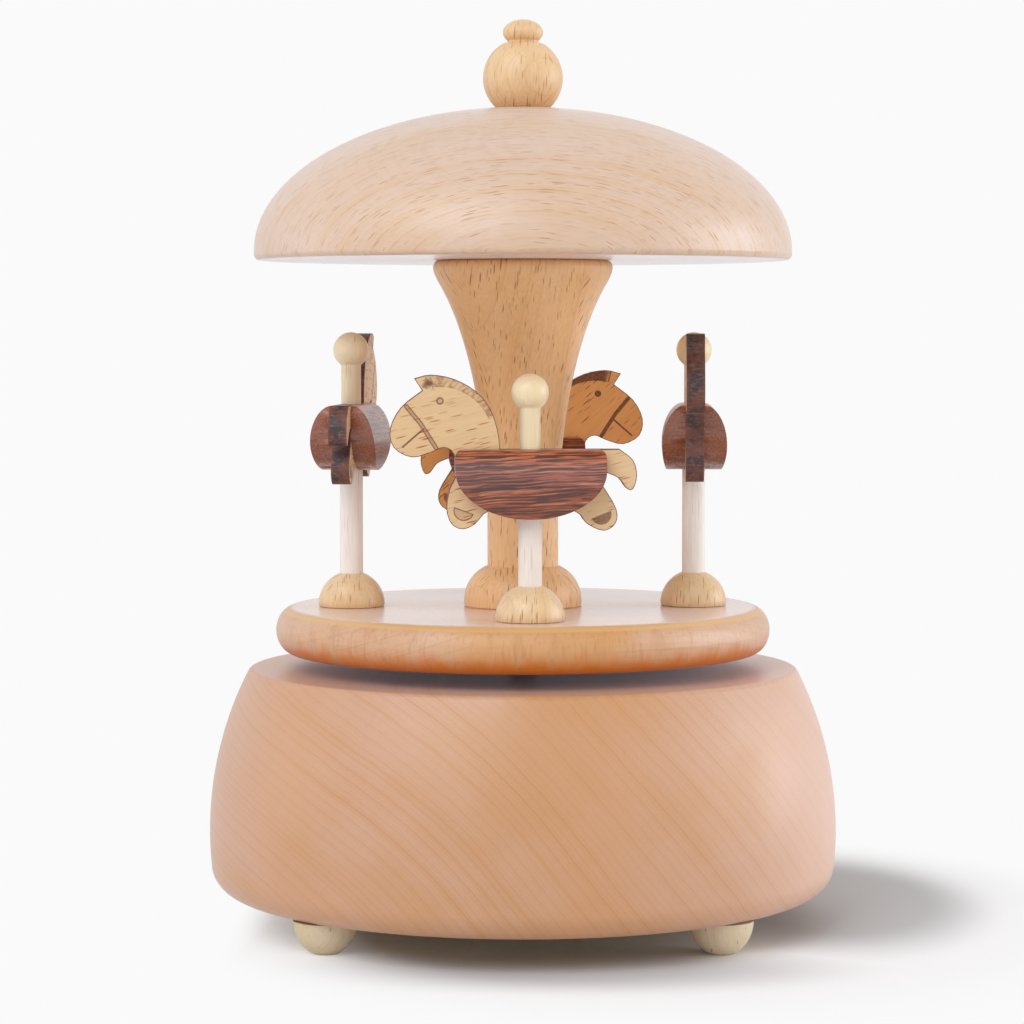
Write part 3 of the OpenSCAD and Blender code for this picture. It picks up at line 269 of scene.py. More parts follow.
def grained(tree, heart, turn, values, fleck=None, cell=(0.5, 6, 4), amount=0.5, run="along"):
    """Wood with its flecks: (colour, height, dullness). Heart (mm) and turn (degrees) place the
    log. The flecks lie across its X axis, or on all sides of a round piece, or on its rings."""
    place = object_place(tree, heart, turn)
    normal = object_place(tree, heart, turn, "Normal")
    grain = use_group(tree, timber, {"Vector": place, "Normal": normal, **values})
    if not fleck:
        return grain["Color"], grain["Height"], grain["Dullness"]

    def marks(spot, facing):
        return use_group(tree, wood_flecks, {"Vector": spot, "Facing": facing,
                                             "Cell": Vector(cell) * MM, "Amount": amount})[0]

    ways = parts_of(tree, normal)
    if run == "rings":
        flecks = marks(grain["Ring Place"], grain["Ring Facing"])
    else:
        side = calc(tree, "ABSOLUTE", ways[0])
        flecks = marks(place, side)
    if run == "round":
        spot = parts_of(tree, place)
        end = calc(tree, "ABSOLUTE", ways[1])
        others = marks(join(tree, spot[1], spot[0], spot[2]), end)
        facing_y = ease(tree, calc(tree, "SUBTRACT", end, side), -0.06, 0.06)
        flecks = calc(tree, "MAXIMUM", product(tree, flecks, facing_y),
                      product(tree, others, calc(tree, "SUBTRACT", 1.0, facing_y)))
    return (blend_colour(tree, flecks, grain["Color"], srgb(*fleck)),
            calc(tree, "MULTIPLY_ADD", flecks, -0.8, grain["Height"]),
            calc(tree, "MULTIPLY_ADD", flecks, 0.2, grain["Dullness"]))


def lacquered(tree, colour, height, dullness, roughness, coat, depth=0.02, flat_gloss=0.0):
    """Satin lacquer over wood. Depth is its grain's, in mm. Flat faces that lay on the
    polishing wheel can be glossier."""
    strength = 0.5
    if flat_gloss:
        upright = calc(tree, "ABSOLUTE", parts_of(tree, coords(tree, "Normal"))[2])
        level = ease(tree, upright, 0.97, 0.999)
        dullness = calc(tree, "MULTIPLY_ADD", level, -flat_gloss, dullness)
        strength = calc(tree, "MULTIPLY_ADD", level, -0.42, 0.5)
    bump = add_node(tree, "Bump", {"Height": height, "Strength": strength,
                                   "Distance": depth * MM})
    feed(tree, tree.nodes["Principled BSDF"], {
        "Base Color": colour, "Roughness": calc(tree, "ADD", dullness, roughness),
        "Normal": bump.outputs[0], "IOR": 1.45, "Coat Weight": coat, "Coat Roughness": 0.38,
        "Sheen Weight": 0.25, "Sheen Roughness": 0.25, "Sheen Tint": srgb(236, 238, 255)})


def new_material(name):
    material = bpy.data.materials.new(name)
    material.use_nodes = True
    return material, material.node_tree


def wood(name, heart, turn, values, roughness=0.5, coat=0.5, flat_gloss=0.0, **flecks):
    """A lacquered wood: see grained for what places and marks it."""
    material, tree = new_material(name)
    lacquered(tree, *grained(tree, heart, turn, values, **flecks), roughness, coat,
              flat_gloss=flat_gloss)
    return material


def tones(pale, warm, line):
    return {"Pale": srgb(*pale), "Warm": srgb(*warm), "Line": srgb(*line)}


def finish_node(node, material):
    """Puts a material on a piece whose own shape stays as it is."""
    nodes[node].data.materials[0] = material


GRAIN_ALONG_Y = (-90, 0, 0)
maple_block, tree = new_material("maple block")
colour, height, dullness = grained(tree, (-111, 0, -88), GRAIN_ALONG_Y, {
    **tones((204, 157, 126), (199, 146, 100), (164, 102, 66)),
    "Ring Spacing": 0.0014, "Ring Waver": 0.0065, "Ring Width": 0.11, "Ring Strength": 0.34,
    "Fibre Strength": 0.14, "Ray Strength": 0.03})
# the block is painted paler on its right, as painted light and reflection from the lamp on
# that side, with warmer stripes further in
PAINTED_LIGHT_FROM, PAINTED_LIGHT_FULL = 0.036, 0.058
spot = coords(tree)
across = calc(tree, "MULTIPLY_ADD", calc(tree, "SUBTRACT", noise(tree, spot, 40.0), 0.5), 0.014,
              parts_of(tree, spot)[0])
colour = tint(tree, colour, ease(tree, across, PAINTED_LIGHT_FROM, PAINTED_LIGHT_FULL), 0.5, (246, 208, 190))
for middle, half_width in ((0.013, 0.016), (-0.037, 0.011)):
    stripe = ease(tree, distance(tree, across, middle), half_width, 0.002)
    colour = tint(tree, colour, stripe, 0.3, (202, 142, 84))
lacquered(tree, colour, height, dullness, 0.5, 0.5, flat_gloss=0.12)
finish_node("base_body", maple_block)

# ---------------------------------------- feet
# Four half balls of pale birch, each glued by a tenon into the underside. They are turned
# from dowel with the grain upright, and only oiled, so they stay matt and creamy.

birch = wood("pale birch", heart=(-9, 4, 0), turn=(3, 2, 0), values={
    **tones((222, 206, 176), (214, 192, 156), (190, 162, 124)), "Ring Spacing": 0.0016,
    "Ring Waver": 0.0012, "Ring Strength": 0.3, "Fibre Strength": 0.22},
    roughness=0.6, coat=0.05, fleck=(150, 118, 84), cell=(0.6, 4, 1.7), amount=0.22, run="round")
for foot in ("foot_1", "foot_2", "foot_3", "foot_4"):
    finish_node(foot, birch)

# ---------------------------------------- bottom cover and its screws
# A disc of birch plywood that closes the pocket, with six holes to let the sound out. Three
# countersunk steel screws hold it to the lugs left standing in the base.

cover_ply = wood("cover plywood", heart=(0, -160, -40), turn=(-90, 0, 90), values={
    **tones((224, 198, 158), (212, 180, 136), (190, 150, 104)), "Ring Spacing": 0.004,
    "Ring Waver": 0.012, "Ring Strength": 0.5, "Fibre Strength": 0.25},
    roughness=0.6, coat=0.05, fleck=(160, 120, 80), cell=(0.5, 3, 6), amount=0.4, run="round")
finish_node("bottom_cover", cover_ply)

# Fine lines and smudges on metal, that dull it unevenly
worn_metal, given, result = new_group(
    "worn metal",
    {"Vector": Vector(), "Bright": (1, 1, 1, 1), "Dull": (1, 1, 1, 1), "Line Scale": 9000.0},
    {"Color": tuple, "Roughness": float, "Height": float})
lines = noise(worn_metal, given["Vector"], given["Line Scale"], 2.0, (0.04, 1, 1))
smudge = ease(worn_metal, noise(worn_metal, given["Vector"], 320.0, 3.0), 0.42, 0.68)
feed(worn_metal, result, {
    "Color": blend_colour(worn_metal, smudge, given["Bright"], given["Dull"]),
    "Roughness": calc(worn_metal, "MULTIPLY_ADD", smudge, 0.2, product(worn_metal, lines, 0.25)),
    "Height": lines})


def metal(name, bright, dull, turn=(0, 0, 0)):
    """A metal whose fine lines lie along X, or along the axis that X is turned to."""
    material, tree = new_material(name)
    wear = use_group(tree, worn_metal, {"Vector": object_place(tree, (0, 0, 0), turn),
                                        "Bright": srgb(*bright), "Dull": srgb(*dull)})
    bump = add_node(tree, "Bump", {"Height": wear["Height"], "Strength": 0.15,
                                   "Distance": 0.01 * MM})
    feed(tree, tree.nodes["Principled BSDF"], {
        "Base Color": wear["Color"], "Roughness": calc(tree, "ADD", wear["Roughness"], 0.12),
        "Normal": bump.outputs[0], "Metallic": 1})
    return material


steel = metal("bright steel", (196, 198, 202), (150, 151, 154))
finish_node("cover_screws", steel)

# ---------------------------------------- the movement
# An eighteen-note movement hangs under the pocket's ceiling: a brass bedplate, a spring
# housing, a steel comb, a pinned brass drum and a fly that brakes it through a worm.

brass = metal("brass", (214, 178, 104), (176, 138, 70))
brass_turned = metal("turned brass", (218, 182, 108), (170, 130, 64), turn=(0, 0, 90))
spring_steel = metal("spring steel", (150, 156, 170), (112, 112, 120), turn=(0, 90, 0))
black_steel = metal("blackened steel", (52, 48, 46), (34, 31, 29))
for finish, finished in (
        (brass, ("bedplate", "spring_housing", "governor_frame", "comb_screws", "great_wheel")),
        (brass_turned, ("drum_cylinder", "drum_gear", "governor_wheel")),
        (spring_steel, ("mainspring", "comb", "click_spring")),
        (black_steel, ("spindle",)),
        (steel, ("movement_screws", "housing_screws", "governor_screw", "drum_pins", "click",
                 "drum_shaft", "governor_fly", "ratchet_wheel", "hub_plate", "hub_screws"))):
    for node in finished:
        finish_node(node, finish)

# ---------------------------------------- turntable
# A disc of beech with a round nose all the way round, screwed to the spindle's hub plate.
# Its top is polished under the lacquer, so it mirrors what stands on it at a low angle.

# The lacquer ran down the nose in fine streaks. Its lower edge is painted orange in patches,
# as painted shade and warm light thrown up from the base. The corner over the nose has a
# lighter yellow line.
turntable_beech, tree = new_material("turntable beech")
TURNTABLE_LOW_Z = 47.2
colour, height, dullness = grained(tree, (14, 0, -60), (-90, 0, 12), {
    **tones((214, 176, 148), (208, 162, 124), (182, 128, 88)), "Ring Spacing": 0.0016,
    "Ring Waver": 0.004, "Ring Width": 0.12, "Ring Strength": 0.3, "Ring Breaks": 0.5,
    "Fibre Strength": 0.2})
spot = coords(tree)
height_over = calc(tree, "SUBTRACT", parts_of(tree, spot)[2], TURNTABLE_LOW_Z * MM)
side = calc(tree, "ABSOLUTE", parts_of(tree, coords(tree, "Normal"))[2])
side = ease(tree, side, 0.99, 0.9)
# painted reflection: the flat top and underside are painted paler, for the white room they mirror
colour = blend_colour(tree, calc(tree, "MULTIPLY_ADD", side, -0.5, 0.5), colour,
                      srgb(236, 206, 186))
runs = noise(tree, spot, 260.0, 2.0, (1, 1, 0.15))
drips = noise(tree, spot, 1700.0, 2.0, (1, 1, 0.09))
# a stripe of warmer heartwood runs through the disc from front to back
HEARTWOOD_X = 2
drift = calc(tree, "SUBTRACT", noise(tree, spot, 120.0), 0.5)
stripe = calc(tree, "ABSOLUTE", calc(tree, "MULTIPLY_ADD", drift, 0.012, calc(
    tree, "SUBTRACT", parts_of(tree, spot)[0], HEARTWOOD_X * MM)))
colour = tint(tree, colour, ease(tree, stripe, 0.019, 0.010),
              calc(tree, "MULTIPLY_ADD", side, 0.6, 0.1), (206, 146, 76))
# painted shade and bounce light: the lower edge of the nose turns orange in patches
painted_bounce_edge = calc(tree, "MULTIPLY_ADD", calc(tree, "SUBTRACT", runs, 0.5), 0.005, height_over)
colour = tint(tree, colour, ease(tree, painted_bounce_edge, 0.0042, 0.0004), 0.95, (206, 114, 32))
colour = tint(tree, colour, product(tree, ease(tree, runs, 0.5, 0.68), side), 0.3, (190, 130, 82))
colour = tint(tree, colour, ease(tree, drips, 0.5, 0.72), product(tree, side, 0.26),
              (172, 108, 66))
corner = product(tree, ease(tree, height_over, 0.0069, 0.0073), side)
colour = tint(tree, colour, corner, 0.75, (226, 176, 108))
lacquered(tree, colour, height, dullness, 0.46, 0.25, flat_gloss=0.28)
finish_node("turntable", turntable_beech)

# ---------------------------------------- column
# Turned from one length of beech with the grain upright: a rounded foot, a slim waist and a
# wide flare with a rounded lip under the canopy. The pores show as short upright dashes.

WELD = 0.001 * MM
SMOOTH_UNDER = math.radians(35)


def pick(piece=None):
    """An operator acts on all that is selected, so only this piece is, or nothing."""
    if bpy.context.object and bpy.context.object.mode != "OBJECT":
        bpy.ops.object.mode_set(mode="OBJECT")
    bpy.ops.object.select_all(action="DESELECT")
    if piece:
        piece.select_set(True)
        bpy.context.view_layer.objects.active = piece


def apply_place():
    bpy.ops.object.transform_apply(location=True, rotation=True, scale=True)


def turned(name, profile, sides=96, bored=False):
    """A turned piece: a ring that is extruded and resized through (radius, height) in mm.
    A bored piece is a ring all through, and its profile ends where it began."""
    pick()
    radius, height = profile[0]
    bpy.ops.mesh.primitive_circle_add(
        vertices=sides, radius=radius * MM, location=(0, 0, height * MM),
        fill_type="NOTHING" if bored else "NGON", enter_editmode=True)
    for next_radius, next_height in profile[1:]:
        bpy.ops.mesh.extrude_region_move(
            TRANSFORM_OT_translate={"value": (0, 0, (next_height - height) * MM)})
        grow = next_radius / radius
        bpy.ops.transform.resize(value=(grow, grow, 1), center_override=(0, 0, next_height * MM))
        radius, height = next_radius, next_height
    bpy.ops.mesh.select_all(action="SELECT")
    bpy.ops.mesh.remove_doubles(threshold=WELD)
    bpy.ops.mesh.normals_make_consistent(inside=False)
    bpy.ops.object.mode_set(mode="OBJECT")
    apply_place()
    bpy.ops.object.shade_smooth_by_angle(angle=SMOOTH_UNDER)
    piece = bpy.context.object
    piece.name = name
    return piece


def arc(centre, radii, angles, steps):
    """Profile points on part of an ellipse, from one angle to another, in degrees."""
    first, last = angles
    around = [math.radians(first + (last - first) * i / steps) for i in range(steps + 1)]
    return [(centre[0] + radii[0] * math.cos(a), centre[1] + radii[1] * math.sin(a))
            for a in around]


TENON_R, COLUMN_FOOT_Z, COLUMN_TOP_Z = 4, 55.1, 115.5
ROUND_FOOT = arc(centre=(3.86, 56.2), radii=(6.44, 6.44), angles=(0, 68.7), steps=16)
FLARE = arc(centre=(23.5, 69), radii=(17.3, 49.5), angles=(180, 119.7), steps=34)
LIP = [(15.42, 113.1), (15.6, 113.6), (15.68, 114.15), (15.63, 114.7), (15.45, 115.1),
       (15.1, 115.38)]
column = turned("turned_column", [
    (3.7, 51.7), (TENON_R, 52), (TENON_R, COLUMN_FOOT_Z), (10.1, COLUMN_FOOT_Z), (10.3, 55.3),
    *ROUND_FOOT, *FLARE, *LIP,
    (14.7, COLUMN_TOP_Z), (TENON_R, COLUMN_TOP_Z), (TENON_R, 124.2), (3.7, 124.5)])
column_beech = wood("column beech", heart=(-31, -22, 0), turn=(0, 4, 0), values={
    **tones((246, 198, 142), (238, 176, 106), (204, 138, 80)), "Ring Spacing": 0.0030,
    "Ring Waver": 0.003, "Ring Strength": 0.25, "Fibre Strength": 0.34},
    fleck=(166, 94, 46), cell=(0.42, 16, 3.3), amount=1.0, run="round")
column.data.materials.append(column_beech)
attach(column, "carousel")
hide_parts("column")

# ---------------------------------------- canopy
# A dome turned from a flat-sawn plank of beech whose grain runs from side to side, so the
# rings come out as nested arcs. Its flat underside sits on the column's upper tenon.

canopy_beech = wood("canopy beech", heart=(-5, -155.5, 64.8), turn=(0, 90, 2.5), values={
    **tones((217, 187, 166), (213, 177, 141), (188, 138, 94)), "Ring Spacing": 0.0000567,
    "Ring Inner": 0.116, "Ring Growth": 0.5, "Ring Waver": 0.003, "Ring Width": 0.12,
    "Ring Strength": 0.5, "Ring Breaks": 0.75, "Ray Strength": 0.1, "Fibre Strength": 0.14},
    coat=0.8, flat_gloss=0.34,
    fleck=(184, 134, 88), cell=(0.34, 2.4, 4.4), amount=0.75, run="rings")
finish_node("canopy", canopy_beech)

# ---------------------------------------- finial
# A ball, a neck and a bead of beech, turned in one piece with the grain upright. Its tenon
# is glued into the top of the dome.

FINE_BEECH = {"Ring Spacing": 0.0024, "Ring Waver": 0.002, "Ring Strength": 0.3,
              "Fibre Strength": 0.34}
finial_beech = wood(
    "finial beech", heart=(-16, 6, 0), turn=(-2, 3, 0),
    values={**tones((232, 198, 154), (226, 183, 132), (202, 152, 100)), **FINE_BEECH},
    roughness=0.46, coat=0.25,
    fleck=(170, 110, 60), cell=(0.36, 8, 4.4), amount=1.0, run="round")
finish_node("finial", finial_beech)

# ---------------------------------------- pole feet and dowels
# A half ball of beech on the turntable holds each pole, which is a raw dowel of white birch,
# glued into the turntable below and into the horse above.

PLACES = ("front", "left", "back", "right")
POLE_ANGLES, POLE_TURN, POLE_CIRCLE_R = (-90, 180, 90, 0), 2.1, 30
BACK_HEIGHTS = (28.6, 35.4, 28.6, 35.4)
HORSE_YAWS = (0, -7, 0, -4.5)
BODY_DEPTH, DOWEL_IN_BODY = 11.5, 4.6


def pole_place(i, height):
    """The place of pole i, at a height over the turntable's top in mm. Local X runs from the
    horse's head to its tail, and local -Y points out from the carousel."""
    return (Matrix.Rotation(math.radians(POLE_ANGLES[i] + POLE_TURN), 4, "Z")
            @ Matrix.Translation((POLE_CIRCLE_R * MM, 0, 0))
            @ Matrix.Rotation(math.radians(90), 4, "Z")
            @ Matrix.Translation((0, 0, (COLUMN_FOOT_Z + height) * MM)))


def horse_place(i):
    """The middle of a horse's back."""
    return pole_place(i, BACK_HEIGHTS[i]) @ Matrix.Rotation(math.radians(HORSE_YAWS[i]), 4, "Z")


def place_copy(pattern, name, place, material):
    """A copy with a mesh and a finish of its own, whose place is put into that mesh."""
    pick(pattern)
    bpy.ops.object.duplicate()
    piece = bpy.context.object
    piece.name = name
    piece.matrix_world = place
    apply_place()
    piece.data.materials.clear()
    piece.data.materials.append(material)
    return piece


def lay_aside(*patterns):
    """A pattern isn't part of the box once its copies stand in place."""
    for pattern in patterns:
        bpy.data.objects.remove(pattern)


foot_pattern = turned("pole_foot_pattern", [
    (2.03, 0), (5.45, 0), (5.68, 0.12),
    *arc(centre=(0, 0.4), radii=(5.8, 5.8), angles=(2, 66), steps=18),
    (2.15, 5.8), (2.03, 5.7), (2.03, 0)], sides=72, bored=True)
dowel_tops = [height - BODY_DEPTH + DOWEL_IN_BODY for height in BACK_HEIGHTS]
dowel_patterns = {
    top: turned("dowel_pattern", [(1.8, -4), (2, -3.8), (2, top - 0.2), (1.8, top)], sides=40)
    for top in sorted(set(dowel_tops))}
foot_beech = wood(
    "pole foot beech", heart=(-40, -52, 0), turn=(-2, 3, 0),
    values={**tones((230, 198, 154), (225, 185, 131), (204, 154, 98)), **FINE_BEECH},
    roughness=0.44, coat=0.5,
    fleck=(180, 120, 70), cell=(0.32, 9, 3.4), amount=1.0, run="round")
dowel_birch = wood("white birch dowel", heart=(-8, 60, 0), turn=(0, 0, 0), values={
    **tones((244, 236, 229), (240, 227, 215), (220, 202, 186)), "Ring Spacing": 0.0012,
    "Ring Waver": 0.0006, "Ring Strength": 0.3, "Fibre Strength": 0.3},
    roughness=0.7, coat=0.0,
    fleck=(222, 202, 186), cell=(0.35, 3, 7), amount=0.5, run="round")
for i, place in enumerate(PLACES):
    foot = place_copy(foot_pattern, place + "_half_ball", pole_place(i, 0), foot_beech)
    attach(foot, "carousel")
    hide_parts(place + "_pole_foot")
    dowel = place_copy(dowel_patterns[dowel_tops[i]], place + "_birch_dowel",
                       pole_place(i, 0), dowel_birch)
    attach(dowel, "carousel")
    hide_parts(place + "_dowel")
lay_aside(foot_pattern, *dowel_patterns.values())

# ---------------------------------------- pegs
# A lacquered birch peg with a ball for a head is glued into each horse's back, in line with
# the dowel. It is turned in one piece.

PEG_BALL_R, PEG_BALL_Z, PEG_R = 3.1, 9.4, 1.72
peg_pattern = turned("peg_pattern", [
    (1.5, -4), (PEG_R, -3.8), (PEG_R, 6.62), (1.8, 6.8),
    *arc(centre=(0, PEG_BALL_Z), radii=(PEG_BALL_R, PEG_BALL_R), angles=(-54, 86), steps=26),
    (0.05, 12.5)], sides=48)
peg_birch = wood("cream birch peg", heart=(-5, 50, 0), turn=(0, 0, 0), values={
    **tones((242, 223, 189), (239, 213, 166), (222, 190, 142)), "Ring Spacing": 0.0018,
    "Ring Waver": 0.0012, "Ring Strength": 0.3, "Fibre Strength": 0.18},
    roughness=0.42, coat=0.3,
    fleck=(222, 190, 146), cell=(0.4, 3, 5), amount=0.35, run="round")
for i, place in enumerate(PLACES):
    peg = place_copy(peg_pattern, place + "_ball_peg", pole_place(i, BACK_HEIGHTS[i]), peg_birch)
    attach(peg, "carousel")
    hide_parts(place + "_peg")
lay_aside(peg_pattern)

# ---------------------------------------- horse plates
# Each horse is cut by laser from 3 mm beech sheet, which chars the edges and leaves a thin
# burnt outline. Its eye, bridle, mane and hooves are burnt into both faces by the same laser.


def choose(piece, kind, test):
    """In edit mode, selects the faces or edges whose middle and direction pass a test."""
    bpy.ops.mesh.select_mode(type=kind)
    bpy.ops.mesh.select_all(action="DESELECT")
    bpy.ops.object.mode_set(mode="OBJECT")
    mesh = piece.data
    if kind == "FACE":
        for face in mesh.polygons:
            face.select = test(face.center, face.normal)
    else:
        for edge in mesh.edges:
            first, last = (mesh.vertices[v].co for v in edge.vertices)
            edge.select = test((first + last) / 2, (last - first).normalized())
    bpy.ops.object.mode_set(mode="EDIT")


# Distance in mm from a straight line that runs From one point To another on a plate's face
burnt_line, given, result = new_group(
    "burnt line", {"Vector": Vector(), "From X": 0.0, "From Z": 0.0, "To X": 0.0, "To Z": 0.0},
    {"Distance": float})
tree = burnt_line
start = join(tree, x=given["From X"], z=given["From Z"])
end = join(tree, x=given["To X"], z=given["To Z"])
from_start = vector_calc(tree, "SUBTRACT", given["Vector"], start)
whole = vector_calc(tree, "SUBTRACT", end, start)
along = calc(tree, "DIVIDE", vector_calc(tree, "DOT_PRODUCT", from_start, whole),
             vector_calc(tree, "DOT_PRODUCT", whole, whole))
along = calc(tree, "MINIMUM", calc(tree, "MAXIMUM", along, 0.0), 1.0)
nearest = vector_calc(tree, "SCALE", whole, scale=along)
feed(tree, result, {"Distance": vector_calc(
    tree, "LENGTH", vector_calc(tree, "SUBTRACT", from_start, nearest))})

# A half-moon on a plate's face: its distance in mm inside the edge, below 0 outside it.
# Tilt is the way its flat side faces, in degrees from the tail.
half_moon, given, result = new_group(
    "half moon", {"Vector": Vector(), "X": 0.0, "Z": 0.0, "Radius": 1.0, "Tilt": 90.0},
    {"Inside": float})
tree = half_moon
off = vector_calc(tree, "SUBTRACT", given["Vector"], join(tree, x=given["X"], z=given["Z"]))
round_in = calc(tree, "SUBTRACT", given["Radius"], vector_calc(tree, "LENGTH", off))
tilt = calc(tree, "RADIANS", given["Tilt"])
way = join(tree, x=calc(tree, "COSINE", tilt), z=calc(tree, "SINE", tilt))
flat_in = product(tree, vector_calc(tree, "DOT_PRODUCT", off, way), -1.0)
feed(tree, result, {"Inside": calc(tree, "MINIMUM", round_in, flat_in)})


def horse_spot(i):
    """The middle of a horse's back in mm, and its turn about Z in degrees."""
    return horse_place(i).translation / MM, POLE_ANGLES[i] + POLE_TURN + 90 + HORSE_YAWS[i]


# places on a plate's face, in mm from the middle of the back: towards the tail, and up
EYE, EAR, NECK = (-14.95, 8.0), (-16.9, 10.6), (-15.0, 1.5)
NOSE_BAND = ((-20.5, 7.1), (-18.15, 4.25), (-15.6, 0.25))
STRAP = ((-17.7, 3.35), (-21.1, 0.4))
EAR_LINES = (((-17.3, 11.9), (-16.9, 10.3)), ((-16.6, 11.9), (-16.1, 10.2)))
FRONT_HOOF = {"X": -11.0, "Z": -10.1, "Radius": 1.75, "Tilt": 70.0}
BACK_HOOF = {"X": 11.7, "Z": -10.8, "Radius": 1.75, "Tilt": 112.0}
MANE_R = 8.9


def burnt_plate(name, i, pale, warm, fleck, slope, dark_marks):
    """The face of one horse. Slope is the rise of the grain towards the tail, in degrees."""
    material, tree = new_material(name)
    origin, yaw = horse_spot(i)
    colour, height, dullness = grained(
        tree, origin + Vector((3, 40, -28)), (0, 90 - slope, yaw),
        {**tones(pale, warm, (196, 148, 100)), "Ring Spacing": 0.0024, "Ring Waver": 0.003,
         "Ring Strength": 0.22, "Fibre Strength": 0.2},
        fleck=fleck, cell=(0.42, 6, 3.9), amount=0.95)
    place = object_place(tree, origin, (0, 0, yaw))
    flat_place = vector_calc(tree, "MULTIPLY", place, (1 / MM, 0, 1 / MM))

    def line_distance(pair):
        (x1, z1), (x2, z2) = pair
        return use_group(tree, burnt_line, {"Vector": flat_place, "From X": x1, "From Z": z1,
                                            "To X": x2, "To Z": z2})["Distance"]

    def way_from(spot):
        return vector_calc(tree, "SUBTRACT", flat_place, (spot[0], 0, spot[1]))

    def ink(off_line, half_width):
        """1 on a burnt line and 0 beside it."""
        return ease(tree, off_line, half_width + 0.07, half_width - 0.05)

    def most(*parts):
        total = parts[0]
        for part in parts[1:]:
            total = calc(tree, "MAXIMUM", total, part)
        return total

    band = calc(tree, "MINIMUM", line_distance(NOSE_BAND[:2]), line_distance(NOSE_BAND[1:]))
    strap = line_distance(STRAP)
    eye_r = vector_calc(tree, "LENGTH", way_from(EYE))
    neck_way = way_from(NECK)
    neck_r = vector_calc(tree, "LENGTH", neck_way)
    ways = parts_of(tree, neck_way)
    neck_angle = calc(tree, "DEGREES", calc(tree, "ARCTAN2", ways[2], ways[0]))
    ears = most(*(ink(line_distance(pair), 0.1) for pair in EAR_LINES))
    hoof = use_group(tree, half_moon, {"Vector": flat_place, **BACK_HOOF})["Inside"]
    in_mane = product(tree, ease(tree, neck_angle, 20, 30), ease(tree, neck_angle, 104, 96))
    if dark_marks:
        inner = calc(tree, "MULTIPLY_ADD", neck_angle, -0.012, 9.9)
        over = calc(tree, "SUBTRACT", neck_r, inner)
        mane = product(tree, in_mane, ease(tree, over, -0.05, 0.1))
        burnt = most(ink(band, 0.34), ink(strap, 0.15), ease(tree, eye_r, 0.66, 0.54), mane, ears)
        faint = 0.0
    else:
        hatch = add_node(tree, "TexWave", {
            "Vector": join(tree, x=calc(tree, "MULTIPLY_ADD", neck_r, 3.0, neck_angle)),
            "Scale": 0.06, "Distortion": 0.6}).outputs["Fac"]
        mane = product(tree, in_mane, ease(tree, neck_r, MANE_R - 0.15, MANE_R))
        mane_edge = product(tree, in_mane, ink(distance(tree, neck_r, MANE_R), 0.07))
        scorch = ease(tree, noise(tree, place, 620.0, 2.0), 0.42, 0.62)
        ear = ease(tree, vector_calc(tree, "LENGTH", way_from(EAR)), 1.5, 0.6)
        front_hoof = use_group(tree, half_moon, {"Vector": flat_place, **FRONT_HOOF})["Inside"]
        burnt = most(product(tree, ink(distance(tree, band, 0.3), 0.08), 0.9), ink(strap, 0.14),
                     product(tree, ink(distance(tree, eye_r, 0.5), 0.13), 0.85),
                     product(tree, mane_edge, product(tree, scorch, 0.6)),
                     product(tree, mane, ease(tree, hatch, 0.7, 0.95), 0.3),
                     product(tree, ears, 0.6), product(tree, ear, scorch),
                     ink(distance(tree, front_hoof, 0.1), 0.07))
        faint = most(product(tree, ink(band, 0.3), 0.6),
                     product(tree, ease(tree, eye_r, 0.5, 0.4), 0.35),
                     product(tree, calc(tree, "MULTIPLY_ADD", scorch, 0.55, 0.15), mane),
                     product(tree, ease(tree, front_hoof, 0.0, 0.1), 0.35))
    burnt = most(burnt, product(tree, ease(tree, hoof, -0.05, 0.12), 0.85))
    # the laser burns unevenly
    smoke = noise(tree, place, 2600.0, 2.0)
    burnt = product(tree, burnt, calc(tree, "MULTIPLY_ADD", smoke, 0.5, 0.62))
    colour = blend_colour(tree, faint, colour, srgb(158, 104, 70))
    colour = blend_colour(tree, burnt, colour, srgb(104, 56, 40))
    height = calc(tree, "MULTIPLY_ADD", burnt, -1.6, height)
    lacquered(tree, colour, height, dullness, 0.52, 0.1, depth=0.06)
    return material


def charred(name, i):
    """The charred edge: nearly black, with streaks across the sheet and a browner rim."""
    material, tree = new_material(name)
    origin, yaw = horse_spot(i)
    place = object_place(tree, origin, (0, 0, yaw))
    streaks = add_node(tree, "TexNoise", {
        "Vector": vector_calc(tree, "MULTIPLY", place, (1, 0.35, 1)),
        "Scale": 2600.0, "Detail": 3.0, "Roughness": 0.65}).outputs[0]
    soot = noise(tree, place, 420.0, 2.0)
    rim = ease(tree, calc(tree, "ABSOLUTE", parts_of(tree, place)[1]), 0.00105, 0.0016)
    colour = blend_colour(tree, ease(tree, soot, 0.4, 0.62), srgb(66, 46, 46), srgb(108, 66, 54))
    colour = tint(tree, colour, ease(tree, streaks, 0.5, 0.68), 0.6, (126, 106, 104))
    colour = tint(tree, colour, rim, 0.5, (132, 74, 50))
    lacquered(tree, colour, streaks, product(tree, soot, 0.2), 0.5, 0.1, depth=0.08)
    return material


PALE_SHEET = {"pale": (226, 191, 146), "warm": (220, 182, 134), "fleck": (168, 98, 52)}
WARM_SHEET = {"pale": (246, 184, 114), "warm": (238, 168, 98), "fleck": (150, 80, 38)}
plate_faces = (
    burnt_plate("front horse face", 0, **PALE_SHEET, slope=14, dark_marks=False),
    burnt_plate("left horse face", 1, **PALE_SHEET, slope=8, dark_marks=False),
    burnt_plate("back horse face", 2, **WARM_SHEET, slope=-42, dark_marks=True),
    burnt_plate("right horse face", 3, **PALE_SHEET, slope=-6, dark_marks=True))
